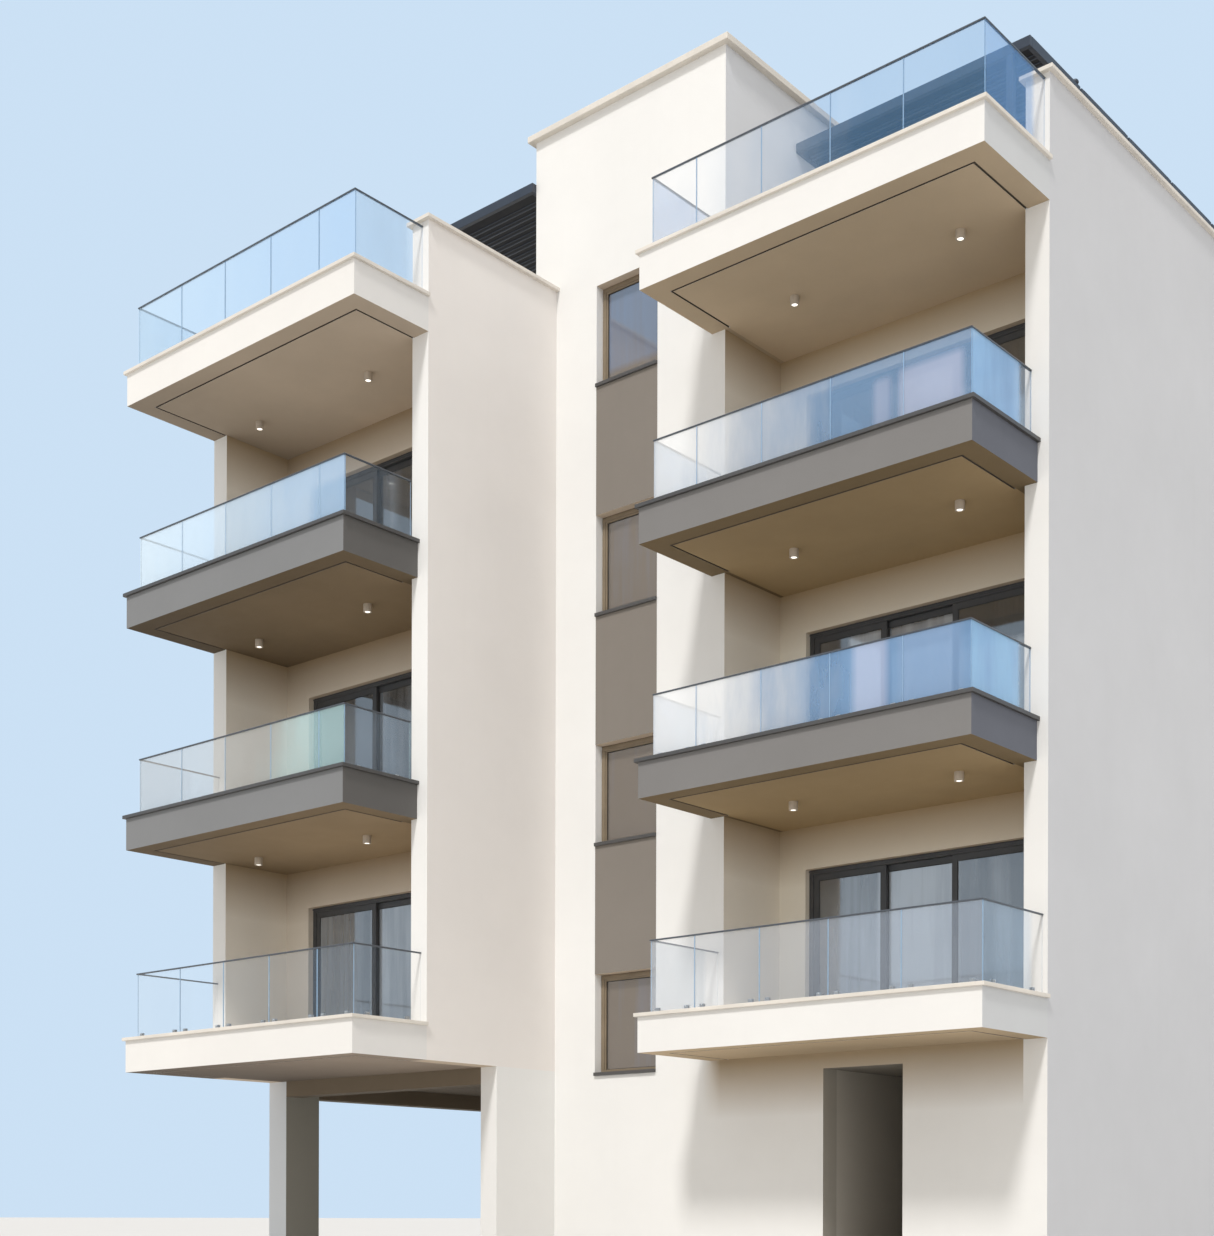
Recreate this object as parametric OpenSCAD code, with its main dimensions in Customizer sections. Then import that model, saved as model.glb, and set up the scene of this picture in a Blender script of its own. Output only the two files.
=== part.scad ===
// Apartment block of three flats over a ground floor, with a left and a right wing of
// cantilevered balconies and a stair tower between them. All sizes are in millimetres.
// Plan positions are measured from the left wing's outer face (x) and from the fronts of
// its balconies (y), then shifted so that the origin is the middle of the footprint.

/* [Storeys] */
// Height of the first floor above the ground
first_floor_z = 3400; // [3000:10:4200]
// Height from one floor to the next
storey_h = 3150; // [2800:10:3600]
// Height of the balcony slabs' faces
face_h = 490; // [400:10:600]
// Thickness of the floors inside
floor_t = 300; // [200:10:380]
// Thickness of the slab on the ground
ground_slab_t = 150; // [100:10:250]
// Height of the parapet walls above the roof floor
parapet_h = 1010; // [800:10:1200]
// Height of the stair tower above the roof floor
tower_h = 3200; // [2600:10:3600]

/* [Plan] */
// Thickness of the outer walls
wall_t = 300; // [200:10:320]
// Width of the left wing
left_w = 4840; // [4600:10:5600]
// Distance that the stair tower reaches in behind the left wing
tower_lap = 395; // [320:5:600]
// Width of the stair tower
tower_w = 3350; // [3000:10:4200]
// Width of the right wing, with the tower wall that it shares
right_w = 4880; // [4500:10:5600]
// Distance of the main front behind the left wing's balconies
front_step = 3730; // [3400:10:4400]
// Depth of the building behind the main front
main_d = 9500; // [9000:10:12000]
// Depth of the stair tower
tower_d = 5000; // [4000:10:6000]

/* [Left wing] */
// Reach of the left balconies before the wing's right wall
left_reach = 1270; // [900:10:1500]
// Set-back of the left wing's outer wall behind its right wall
left_pier_back = 240; // [0:10:400]
// Depth of the left loggias behind the wing's right wall
left_loggia_d = 1380; // [1300:10:2000]
// Distance that the grey balconies stop short of the wing's right face
left_grey_short = 190; // [100:10:280]

/* [Right wing] */
// Reach of the right balconies before the main front
right_reach = 1480; // [1000:10:1700]
// Lap of the right balconies over the tower's front
right_lap = 210; // [150:10:300]
// Depth of the right loggias behind the main front
right_loggia_d = 1240; // [1000:10:1600]
// Distance that the grey balconies stop short of the right wall's face
right_grey_short = 140; // [100:5:260]

/* [Carport] */
// Width of the carport columns
column_w = 400; // [280:10:450]
// Depth of the carport columns
column_d = 640; // [400:10:800]
// Number of columns along the open side
column_n = 3; // [3:1:5]
// Set-back of the carport's front before the loggia walls
carport_lead = 80; // [0:10:200]
// Height of the beams under the soffit
beam_h = 230; // [200:10:400]

/* [Entrance] */
// Distance of the entrance from the tower's right face
entrance_x = 1550; // [800:10:2200]
// Width of the entrance
entrance_w = 1140; // [900:10:1400]
// Height of the wall over the entrance
entrance_lintel_h = 190; // [120:5:600]
// Length of the entrance passage behind the front wall
passage_d = 2400; // [1900:10:3000]
// Thickness of the passage walls
passage_t = 120; // [80:10:200]

/* [Copings] */
// Thickness of the slab and parapet copings
coping_t = 45; // [30:5:60]
// Overhang of the slab copings
coping_over = 40; // [20:5:60]
// Width of the slab copings on the slab
coping_w = 230; // [200:10:300]
// Overhang of the parapet copings
parapet_over = 60; // [30:5:80]
// Thickness of the tower's coping
tower_coping_t = 85; // [50:5:120]
// Overhang of the tower's coping
tower_over = 90; // [60:5:120]
// Width of the drip grooves
groove_w = 30; // [10:1:30]
// Depth of the drip grooves
groove_h = 20; // [8:1:25]

/* [Balustrades] */
// Height of the balustrades above the copings of the white balconies
white_rail_h = 915; // [850:5:1100]
// Height of the balustrades above the copings of the grey balconies
grey_rail_h = 810; // [750:5:1100]
// Width of the handrail
rail_w = 30; // [26:1:60]
// Height of the handrail
rail_t = 20; // [15:1:40]
// Thickness of the glass
glass_t = 14; // [10:1:20]
// Distance from one glass joint to the next
pane_pitch = 970; // [850:10:1000]
// Distance of the first joint from the left wing's outer face
left_joint_x = 1120; // [800:10:1200]
// Distance of the first joint on the right wing from the tower's right face
right_joint_x = 595; // [300:5:800]
// Gap between the panes
pane_gap = 10; // [5:1:20]
// Distance of the glass behind the faces of the white balconies
glass_in_white = 110; // [60:5:150]
// Distance of the glass behind the faces of the grey balconies
glass_in_grey = 130; // [60:5:150]
// Distance that the right wing's side glass stands further out
side_glass_out = 50; // [0:5:50]
// Length of a glass clamp
clamp_l = 60; // [40:5:100]
// Thickness of a glass clamp
clamp_w = 40; // [34:2:80]
// Height of a glass clamp
clamp_h = 60; // [50:5:120]
// Height of the glass above the coping
clamp_seat = 20; // [10:1:40]
// Distance of the clamps from the ends of their pane
clamp_in = 120; // [80:10:180]

/* [Sliding doors] */
// Height of the sliding doors
door_h = 2100; // [1950:5:2300]
// Distance of the left doors from the outer wall's inner face
left_door_x = 510; // [300:10:700]
// Width of the left doors
left_door_w = 2700; // [2400:10:3400]
// Distance of the right doors from the tower wall's face
right_door_x = 420; // [300:10:500]
// Width of the right doors
right_door_w = 3340; // [2800:10:3400]
// Width of the door frames' profile
door_frame_w = 65; // [40:1:80]
// Depth of the door frames
door_frame_d = 120; // [110:5:160]
// Width of the sashes' profile
sash_w = 80; // [50:1:90]
// Depth of the sashes
sash_d = 44; // [36:1:48]

/* [Windows] */
// Width of the stair windows
stair_window_w = 1080; // [900:5:1200]
// Height of the stair windows
stair_window_h = 1395; // [1200:5:1500]
// Distance of the stair windows from the tower's left face
stair_window_x = 1140; // [900:10:1250]
// Height of a stair window's sill below the floor
stair_sill_drop = 590; // [500:10:650]
// Width of the rear and side windows
window_w = 1300; // [900:10:1300]
// Height of the rear and side windows
window_h = 1200; // [900:10:1400]
// Height of their sills above the floor
window_sill = 900; // [700:10:1000]
// Number of rear windows on a storey
rear_window_n = 4; // [2:1:5]
// Number of side windows on a storey
side_window_n = 2; // [1:1:3]
// Width of the window frames' profile
frame_w = 90; // [50:1:100]
// Depth of the window frames
frame_d = 70; // [60:1:90]
// Set-back of the window frames behind the wall's face
frame_back = 130; // [100:5:180]
// Thickness of the panes in windows and doors
pane_t = 24; // [18:1:30]
// Thickness of the window sills
sill_t = 45; // [25:1:50]
// Overhang of the window sills before the wall
sill_over = 35; // [20:5:60]
// Depth of the grey panels let into the tower wall
panel_t = 40; // [30:5:60]
// Distance that the grey panels stand before the wall
panel_proud = 4; // [2:1:10]

/* [Pergolas] */
// Height of the pergolas above the roof floor
pergola_h = 2620; // [2200:10:2800]
// Width of the left pergola
left_pergola_w = 2050; // [1800:10:3000]
// Width of the right pergola
right_pergola_w = 3500; // [2400:10:3600]
// Depth of the left pergola
left_pergola_d = 3000; // [2000:10:3600]
// Depth of a field of the right pergola
field_d = 1360; // [1000:10:1400]
// Gap between the fields of the right pergola
field_gap = 40; // [20:5:60]
// Number of fields of the right pergola
field_n = 5; // [3:1:5]
// Distance of the left pergola's front before the main front
left_pergola_lead = 80; // [0:10:400]
// Distance of the right pergola's front behind the main front
right_pergola_back = 1580; // [1300:10:1600]
// Height of the pergola beams
pergola_beam_h = 130; // [130:5:200]
// Thickness of the pergola beams
pergola_beam_t = 60; // [40:5:80]
// Width of the pergola posts
post_w = 90; // [70:5:120]
// Distance of the posts from the pergola's outer end
post_in = 240; // [0:10:400]
// Distance from one louvre blade to the next
louvre_pitch = 180; // [160:5:220]
// Width of a louvre blade
louvre_w = 190; // [120:5:190]
// Thickness of a louvre blade
louvre_t = 18; // [10:1:20]
// Tilt of the louvre blades
louvre_tilt = 35; // [15:1:35]

/* [Downlights] */
// Diameter of the downlights
light_dia = 115; // [80:5:150]
// Height of the downlights
light_h = 100; // [50:5:150]
// Distance between the two downlights under a balcony
light_span = 2340; // [1800:10:2800]
// Distance of the left downlights' middle from the outer wall's inner face
left_light_x = 1900; // [1500:10:2400]
// Distance of the left downlights behind the balcony fronts
left_light_y = 1540; // [1200:10:2200]
// Distance of the right downlights' middle from the tower's right face
right_light_x = 2330; // [1600:10:2400]
// Distance of the right downlights behind the balcony fronts
right_light_y = 1380; // [1200:10:2200]

/* [Hidden] */

// Heights of the four floors above the ground floor; the last one is the roof terrace
floors = [for (i = [0:3]) first_floor_z + i * storey_h];
roof_z = floors[3];
soffit_z = first_floor_z - face_h;
parapet_z = roof_z + parapet_h - coping_t;
tower_z = roof_z + tower_h;

// Plan positions, from the left wing's outer face and the fronts of its balconies
tower_x = left_w - tower_lap;
tower_x1 = tower_x + tower_w;
right_x = tower_x1 - wall_t;
building_w = right_x + right_w;
building_d = front_step + main_d;
wing_wall_x = left_w - wall_t;
left_pier_y = left_reach + left_pier_back;
left_loggia_y = left_reach + left_loggia_d;
right_loggia_y = front_step + right_loggia_d;
right_front_y = front_step - right_reach;
right_slab_x = tower_x1 - right_lap;
carport_y = left_loggia_y - carport_lead;
rear_y = building_d - wall_t;
right_wall_x = building_w - wall_t;
tower_y1 = front_step + tower_d;
tower_wall_y = tower_y1 - wall_t;

// Middle of the footprint, from the left slab copings to the parapet copings
mid_x = (building_w + parapet_over - coping_over) / 2;
mid_y = (building_d + parapet_over - coping_over) / 2;

// How far a cutting block reaches past the faces it cuts
past = 1;

// A block between two corners, given in the plan positions above
module block(x, y, z) {
    translate([x[0] - mid_x, y[0] - mid_y, z[0]])
        cube([x[1] - x[0], y[1] - y[0], z[1] - z[0]]);
}

// A flat outline in plan positions, raised between two heights
module plate(outline, z) {
    translate([-mid_x, -mid_y, z[0]])
        linear_extrude(z[1] - z[0])
            polygon(outline);
}

// A rectangular ring in the wall's plane, with its front at y = 0
module ring(w, h, profile, depth) {
    difference() {
        cube([w, depth, h]);
        translate([profile, -past, profile])
            cube([w - 2 * profile, depth + 2 * past, h - 2 * profile]);
    }
}

// Floors and slabs

module ground_slab() {
    color("silver")
        block([tower_x + wall_t, right_wall_x], [front_step + wall_t, rear_y], [0, ground_slab_t]);
}

// The first floor is as deep as the slab faces, the others are thinner
function floor_span(i) = [floors[i] - (i == 0 ? face_h : floor_t), floors[i]];

module left_floors() {
    color("gainsboro")
        for (i = [0:3])
            plate([
                [wall_t, left_loggia_y], [wing_wall_x, left_loggia_y], [wing_wall_x, front_step],
                [tower_x, front_step], [tower_x, front_step + wall_t],
                [tower_x + wall_t, front_step + wall_t], [tower_x + wall_t, rear_y], [wall_t, rear_y]
            ], floor_span(i));
}

module right_floors() {
    color("gainsboro")
        for (i = [0:3])
            block([right_x, right_wall_x], [right_loggia_y, rear_y], floor_span(i));
}

module stair_landings() {
    color("gainsboro")
        for (i = [0:3])
            block([tower_x + wall_t, right_x], [tower_wall_y, rear_y], floor_span(i));
}

// Walls of the left wing

// Front edges of the windows in a wall of a length, set out evenly from its start
function window_starts(start, length, n, w) =
    [for (i = [0:n - 1]) start + (length - n * w) / (n + 1) * (i + 1) + i * w];

// Solid stretches of a wall between its windows, as pairs of start and end
function pier_spans(start, length, n, w) =
    let (s = window_starts(start, length, n, w))
    [for (i = [0:n]) [i == 0 ? start : s[i - 1] + w, i == n ? start + length : s[i]]];

// Solid heights of a window column above the soffit, as pairs of bottom and top
function spandrel_spans() = [
    for (i = [0:3]) [
        i == 0 ? soffit_z : floors[i - 1] + window_sill + window_h,
        i == 3 ? parapet_z : floors[i] + window_sill
    ]
];

side_start = left_loggia_y + wall_t;
side_length = rear_y - side_start;
side_windows = window_starts(side_start, side_length, side_window_n, window_w);
rear_start = wall_t;
rear_length = right_wall_x - wall_t;
rear_windows = window_starts(rear_start, rear_length, rear_window_n, window_w);

module left_side_piers() {
    spans = pier_spans(side_start, side_length, side_window_n, window_w);
    color("white")
        for (i = [0:side_window_n])
            block([0, wall_t],
                  [i == 0 ? left_pier_y : spans[i][0], i == side_window_n ? building_d : spans[i][1]],
                  [soffit_z, parapet_z]);
}

module left_wing_wall() {
    color("white")
        block([wing_wall_x, left_w], [left_reach, front_step], [soffit_z, parapet_z]);
}

// Carport under the left wing

column_ys = [
    for (i = [0:column_n - 1])
        carport_y + i * (building_d - column_d - carport_y) / (column_n - 1)
];

module carport_wall() {
    color("white") {
        block([wing_wall_x, left_w], [carport_y, front_step], [0, soffit_z]);
        block([tower_x, tower_x + wall_t], [front_step + wall_t, rear_y], [0, soffit_z]);
    }
}

module carport_columns() {
    color("white")
        for (y = column_ys)
            block([0, column_w], [y, y + column_d], [0, soffit_z]);
}

module carport_beams() {
    z = [soffit_z - beam_h, soffit_z];
    color("white") {
        block([column_w, wing_wall_x], [carport_y, carport_y + wall_t], z);
        block([column_w, tower_x], [rear_y, building_d], z);
        for (i = [0:column_n - 2])
            block([0, wall_t], [column_ys[i] + column_d, column_ys[i + 1]], z);
    }
}

// Stair tower

stair_x = tower_x + stair_window_x;
stair_zs = [for (z = floors) z - stair_sill_drop];

// Solid heights between the stair windows, as pairs of bottom and top
stair_spans = [
    for (i = [0:4]) [
        i == 0 ? 0 : stair_zs[i - 1] + stair_window_h,
        i == 4 ? tower_z : stair_zs[i]
    ]
];

module tower_front_piers() {
    color("white") {
        block([tower_x, stair_x], [front_step, front_step + wall_t], [0, tower_z]);
        block([stair_x + stair_window_w, tower_x1], [front_step, front_step + wall_t], [0, tower_z]);
    }
}

module tower_spandrels() {
    color("white")
        for (i = [0:4])
            block([stair_x, stair_x + stair_window_w],
                  [front_step + (i > 0 && i < 4 ? panel_t : 0), front_step + wall_t],
                  stair_spans[i]);
}

module tower_side_walls() {
    color("white")
        for (x = [tower_x, right_x])
            block([x, x + wall_t], [front_step + wall_t, tower_y1], [roof_z, tower_z]);
}

module tower_rear_wall() {
    color("white")
        block([tower_x + wall_t, right_x], [tower_wall_y, tower_y1], [roof_z, tower_z]);
}

module tower_roof() {
    color("silver")
        block([tower_x + wall_t, right_x], [front_step + wall_t, tower_wall_y],
              [tower_z - floor_t, tower_z - coping_t]);
}

module loggia_side_wall() {
    color("white")
        block([right_x, tower_x1], [front_step + wall_t, right_loggia_y], [soffit_z, roof_z]);
}

// Walls of the right wing

module right_wing_wall() {
    color("white")
        block([right_wall_x, building_w], [front_step, building_d], [0, parapet_z]);
}

entrance_h = soffit_z - entrance_lintel_h;
entrance_x0 = tower_x1 + entrance_x;
entrance_x1 = entrance_x0 + entrance_w;

module entrance_wall() {
    color("white") {
        block([tower_x1, entrance_x0], [front_step, front_step + wall_t], [0, soffit_z]);
        block([entrance_x1, right_wall_x], [front_step, front_step + wall_t], [0, soffit_z]);
        block([entrance_x0, entrance_x1], [front_step, front_step + wall_t], [entrance_h, soffit_z]);
    }
}

module entrance_passage() {
    y = [front_step + wall_t, front_step + wall_t + passage_d];
    color("linen") {
        block([entrance_x0 - passage_t, entrance_x0], y, [ground_slab_t, entrance_h]);
        block([entrance_x1, entrance_x1 + passage_t], y, [ground_slab_t, entrance_h]);
        block([entrance_x0 - passage_t, entrance_x1 + passage_t], y, [entrance_h, soffit_z]);
    }
}

// Rear walls

module ground_rear_wall() {
    color("white")
        block([tower_x, right_wall_x], [rear_y, building_d], [0, soffit_z]);
}

module rear_piers() {
    color("white")
        for (x = pier_spans(rear_start, rear_length, rear_window_n, window_w))
            block(x, [rear_y, building_d], [soffit_z, parapet_z]);
}

module window_spandrels() {
    color("white")
        for (z = spandrel_spans()) {
            for (x = rear_windows)
                block([x, x + window_w], [rear_y, building_d], z);
            for (y = side_windows)
                block([0, wall_t], [y, y + window_w], z);
        }
}

// Loggia back walls, with a wide door on each storey

left_door_x0 = wall_t + left_door_x;
right_door_x0 = tower_x1 + right_door_x;

// The two loggia walls as [start, end, door start, door width, front]
loggias = [
    [wall_t, wing_wall_x, left_door_x0, left_door_w, left_loggia_y],
    [tower_x1, right_wall_x, right_door_x0, right_door_w, right_loggia_y]
];

module loggia_piers() {
    color("linen")
        for (l = loggias, i = [0:2]) {
            y = [l[4], l[4] + wall_t];
            z = [floors[i], floors[i + 1] - floor_t];
            block([l[0], l[2]], y, z);
            block([l[2] + l[3], l[1]], y, z);
        }
}

module door_lintels() {
    color("linen")
        for (l = loggias, i = [0:2])
            block([l[2], l[2] + l[3]], [l[4], l[4] + wall_t],
                  [floors[i] + door_h, floors[i + 1] - floor_t]);
}

// Balcony slabs, with a drip groove under their free edges

// Outline of a left slab that ends at x1 on the right
function left_outline(x1) = [
    [0, 0], [x1, 0], [x1, left_reach], [wing_wall_x, left_reach],
    [wing_wall_x, left_loggia_y], [wall_t, left_loggia_y], [wall_t, left_pier_y], [0, left_pier_y]
];

// Outline of a right slab that ends at x1 on the right
function right_outline(x1) = [
    [right_slab_x, right_front_y], [x1, right_front_y], [x1, front_step], [right_wall_x, front_step],
    [right_wall_x, right_loggia_y], [tower_x1, right_loggia_y], [tower_x1, front_step],
    [right_slab_x, front_step]
];

// Groove that runs round three sides, set in by the wall's thickness
module drip_groove(x0, x1, y0, y_left, y_right, z) {
    block([x0 + wall_t - groove_w, x0 + wall_t], [y0 + wall_t - groove_w, y_left], z);
    block([x0 + wall_t - groove_w, x1 - wall_t + groove_w], [y0 + wall_t - groove_w, y0 + wall_t], z);
    block([x1 - wall_t, x1 - wall_t + groove_w], [y0 + wall_t - groove_w, y_right], z);
}

function groove_span(z) = [z - face_h - past, z - face_h + groove_h];

module left_slab(z, x1) {
    difference() {
        plate(left_outline(x1), [z - face_h, z - coping_t]);
        drip_groove(0, x1, 0, left_pier_y + past, left_reach + past, groove_span(z));
    }
}

module right_slab(z, x1) {
    difference() {
        plate(right_outline(x1), [z - face_h, z - coping_t]);
        drip_groove(right_slab_x, x1, right_front_y, front_step + past, front_step + past,
                    groove_span(z));
    }
}

left_grey_x = left_w - left_grey_short;
right_grey_x = building_w - right_grey_short;

module left_white_balconies() {
    color("white")
        for (i = [0, 3])
            left_slab(floors[i], left_w);
}

module left_grey_balconies() {
    color("dimgray")
        for (i = [1, 2])
            left_slab(floors[i], left_grey_x);
}

module right_white_balconies() {
    color("white")
        for (i = [0, 3])
            right_slab(floors[i], building_w);
}

module right_grey_balconies() {
    color("dimgray")
        for (i = [1, 2])
            right_slab(floors[i], right_grey_x);
}

// Copings

// Strip along three sides of a slab, from a wall on the left to a wall on the right
module slab_coping(x0, x1, y0, y_left, y_right, z) {
    o = coping_over;
    w = coping_w;
    plate([
        [x0 - o, y0 - o], [x1 + o, y0 - o], [x1 + o, y_right], [x1 - w, y_right],
        [x1 - w, y0 + w], [x0 + w, y0 + w], [x0 + w, y_left], [x0 - o, y_left]
    ], [z - coping_t, z]);
}

module left_coping(i, x1) {
    slab_coping(0, x1, 0, left_pier_y, left_reach, floors[i]);
}

module right_coping(i, x1) {
    slab_coping(right_slab_x, x1, right_front_y, front_step, front_step, floors[i]);
}

module parapet_coping() {
    o = parapet_over;
    z = [parapet_z, parapet_z + coping_t];
    cut = [z[0] - past, z[1] + past];
    block([wing_wall_x - o, left_w + o], [left_reach - o, front_step], z);
    difference() {
        block([-coping_over, building_w + o], [left_pier_y - o, building_d + o], z);
        block([wall_t + o, right_wall_x - o], [0, rear_y - o], cut);
        block([right_wall_x - o - past, building_w + o + past], [0, front_step - o], cut);
    }
}

module tower_coping() {
    o = tower_over;
    z = [tower_z, tower_z + tower_coping_t];
    difference() {
        block([tower_x - o, tower_x1 + o], [front_step - o, tower_y1 + o], z);
        block([tower_x + wall_t + parapet_over, right_x - parapet_over],
              [front_step + wall_t + parapet_over, tower_wall_y - parapet_over],
              [z[0] - past, z[1] + past]);
    }
}

module pale_copings() {
    color("ivory") {
        for (i = [0, 3]) {
            left_coping(i, left_w);
            right_coping(i, building_w);
        }
        parapet_coping();
        tower_coping();
    }
}

module dark_copings() {
    color("darkslategray")
        for (i = [1, 2]) {
            left_coping(i, left_grey_x);
            right_coping(i, right_grey_x);
        }
}

// Glass balustrades

// The eight balustrades as [x0, x1, front, left end, right end, floor, first joint, height]
function balustrade(wing, i) =
    let (grey = i == 1 || i == 2,
         g = grey ? glass_in_grey : glass_in_white,
         h = grey ? grey_rail_h : white_rail_h)
    wing == 0
        ? [g, (grey ? left_grey_x : left_w) - g, g, left_pier_y, left_reach, floors[i],
           left_joint_x, h]
        : [right_slab_x + g, (grey ? right_grey_x : building_w) - g + side_glass_out,
           right_front_y + g, front_step, front_step, floors[i], tower_x1 + right_joint_x, h];

// Ends and joints along the front; the last joint leaves a pane of at least the least width
least_pane_w = 300;
function joints(b) = concat(
    b[0], [for (x = [b[6]:pane_pitch:b[1] - least_pane_w]) x], b[1]
);

module balustrade_panes(b) {
    z = [b[5] + clamp_seat, b[5] + b[7] - rail_t];
    js = joints(b);
    half = pane_gap / 2;
    for (k = [0:len(js) - 2])
        block([js[k] + half, js[k + 1] - half], [b[2], b[2] + glass_t], z);
    block([b[0], b[0] + glass_t], [b[2] + glass_t + half, b[3] - half], z);
    block([b[1] - glass_t, b[1]], [b[2] + glass_t + half, b[4] - half], z);
}

module handrail(b) {
    side = (rail_w - glass_t) / 2;
    z = [b[5] + b[7] - rail_t, b[5] + b[7]];
    plate([
        [b[0] - side, b[2] - side], [b[1] + side, b[2] - side], [b[1] + side, b[4]],
        [b[1] + side - rail_w, b[4]], [b[1] + side - rail_w, b[2] - side + rail_w],
        [b[0] - side + rail_w, b[2] - side + rail_w], [b[0] - side + rail_w, b[3]],
        [b[0] - side, b[3]]
    ], z);
}

// A clamp with a slot for the glass, its middle at the origin and its length along x
module clamp() {
    difference() {
        translate([-clamp_l / 2, -clamp_w / 2, 0])
            cube([clamp_l, clamp_w, clamp_h]);
        translate([-clamp_l / 2 - past, -glass_t / 2, clamp_seat])
            cube([clamp_l + 2 * past, glass_t, clamp_h]);
    }
}

module clamp_at(x, y, z, turn) {
    translate([x - mid_x, y - mid_y, z])
        rotate([0, 0, turn])
            clamp();
}

module balustrade_clamps(b) {
    js = joints(b);
    y = b[2] + glass_t / 2;
    for (k = [0:len(js) - 2], x = [js[k] + clamp_in, js[k + 1] - clamp_in])
        clamp_at(x, y, b[5], 0);
    for (v = [b[2] + 2 * clamp_in, b[3] - 2 * clamp_in])
        clamp_at(b[0] + glass_t / 2, v, b[5], 90);
    for (v = [b[2] + 2 * clamp_in, b[4] - 2 * clamp_in])
        clamp_at(b[1] - glass_t / 2, v, b[5], 90);
}

module left_balustrade_glass() {
    color("lightskyblue")
        for (i = [0:3])
            balustrade_panes(balustrade(0, i));
}

module right_balustrade_glass() {
    color("lightskyblue")
        for (i = [0:3])
            balustrade_panes(balustrade(1, i));
}

module handrails() {
    color("darkslategray")
        for (wing = [0, 1], i = [0:3])
            handrail(balustrade(wing, i));
}

module glass_clamps() {
    color("silver")
        for (wing = [0, 1], i = [0:3])
            balustrade_clamps(balustrade(wing, i));
}

// Sliding doors: a frame with two tracks and two or three sashes

door_back = (wall_t - door_frame_d) / 2;
sash_gap = (door_frame_d - 2 * sash_d) / 3;

// The doors as [start, width, wall front, number of sashes]
doors = [
    [left_door_x0, left_door_w, left_loggia_y, 2],
    [right_door_x0, right_door_w, right_loggia_y, 3]
];

// Width of a sash, where neighbours overlap by one stile
function sash_width(d) = (d[1] - 2 * door_frame_w + (d[3] - 1) * sash_w) / d[3];

// Places a sash of a door, on the outer track for even numbers
module at_sash(d, i, s) {
    translate([
        d[0] + door_frame_w + s * (sash_width(d) - sash_w) - mid_x,
        d[2] + door_back + sash_gap + (s % 2) * (sash_d + sash_gap) - mid_y,
        floors[i] + door_frame_w
    ])
        children();
}

module sliding_door_frames() {
    color("dimgray")
        for (d = doors, i = [0:2])
            translate([d[0] - mid_x, d[2] + door_back - mid_y, floors[i]])
                ring(d[1], door_h, door_frame_w, door_frame_d);
}

module sliding_door_sashes() {
    color("dimgray")
        for (d = doors, i = [0:2], s = [0:d[3] - 1])
            at_sash(d, i, s)
                ring(sash_width(d), door_h - 2 * door_frame_w, sash_w, sash_d);
}

module sliding_door_glass() {
    color("lightsteelblue")
        for (d = doors, i = [0:2], s = [0:d[3] - 1])
            at_sash(d, i, s)
                translate([sash_w, (sash_d - pane_t) / 2, sash_w])
                    cube([sash_width(d) - 2 * sash_w, pane_t, door_h - 2 * door_frame_w - 2 * sash_w]);
}

// Windows of the stair, the rear and the left side

// Places each window, with its outside towards -y, and gives its size to the children
module at_stair_windows() {
    for (z = stair_zs)
        translate([stair_x - mid_x, front_step - mid_y, z])
            children();
}

module at_rear_windows() {
    for (x = rear_windows, i = [0:2])
        translate([x + window_w - mid_x, building_d - mid_y, floors[i] + window_sill])
            rotate([0, 0, 180])
                children();
}

module at_side_windows() {
    for (y = side_windows, i = [0:2])
        translate([-mid_x, y + window_w - mid_y, floors[i] + window_sill])
            rotate([0, 0, -90])
                children();
}

module window_frame(w, h) {
    translate([0, frame_back, 0])
        ring(w, h, frame_w, frame_d);
}

module window_pane(w, h) {
    translate([frame_w, frame_back + (frame_d - pane_t) / 2, frame_w])
        cube([w - 2 * frame_w, pane_t, h - 2 * frame_w]);
}

// A sill on the opening's bottom, from the frame out past the wall's face
module sill(w) {
    translate([0, -sill_over, 0])
        cube([w, frame_back + sill_over, sill_t]);
}

module window_frames() {
    color("dimgray") {
        at_stair_windows()
            window_frame(stair_window_w, stair_window_h);
        at_rear_windows()
            window_frame(window_w, window_h);
        at_side_windows()
            window_frame(window_w, window_h);
    }
}

module window_glass() {
    color("lightsteelblue") {
        at_stair_windows()
            window_pane(stair_window_w, stair_window_h);
        at_rear_windows()
            window_pane(window_w, window_h);
        at_side_windows()
            window_pane(window_w, window_h);
    }
}

module window_sills() {
    color("darkslategray") {
        at_stair_windows()
            sill(stair_window_w);
        at_rear_windows()
            sill(window_w);
        at_side_windows()
            sill(window_w);
    }
}

module stair_panels() {
    color("gray")
        for (i = [1:3])
            block([stair_x, stair_x + stair_window_w],
                  [front_step - panel_proud, front_step + panel_t], stair_spans[i]);
}

// Louvred pergolas on the roof terrace: posts, beams and rails with blades between them

field_step = field_d + field_gap;
right_pergola_y = front_step + right_pergola_back;
pergola_z = roof_z + pergola_h;
beam_span = [pergola_z - pergola_beam_h, pergola_z];

// The fields as [left end, right end, front, depth]; the left pergola is one field
fields = concat(
    [[tower_x - left_pergola_w, tower_x, front_step - left_pergola_lead, left_pergola_d]],
    [for (k = [0:field_n - 1])
        [tower_x1, tower_x1 + right_pergola_w, right_pergola_y + k * field_step, field_d]]
);

module post(x, y) {
    block([x, x + post_w], [y, y + post_w], [roof_z, beam_span[0]]);
}

// Front of a right post: flush with the first or the last field, or under the joint before field k
function right_post_y(k) = right_pergola_y + (
    k == 0 ? 0
    : k == field_n ? k * field_step - field_gap - post_w
    : k * field_step - (field_gap + post_w) / 2
);

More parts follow.
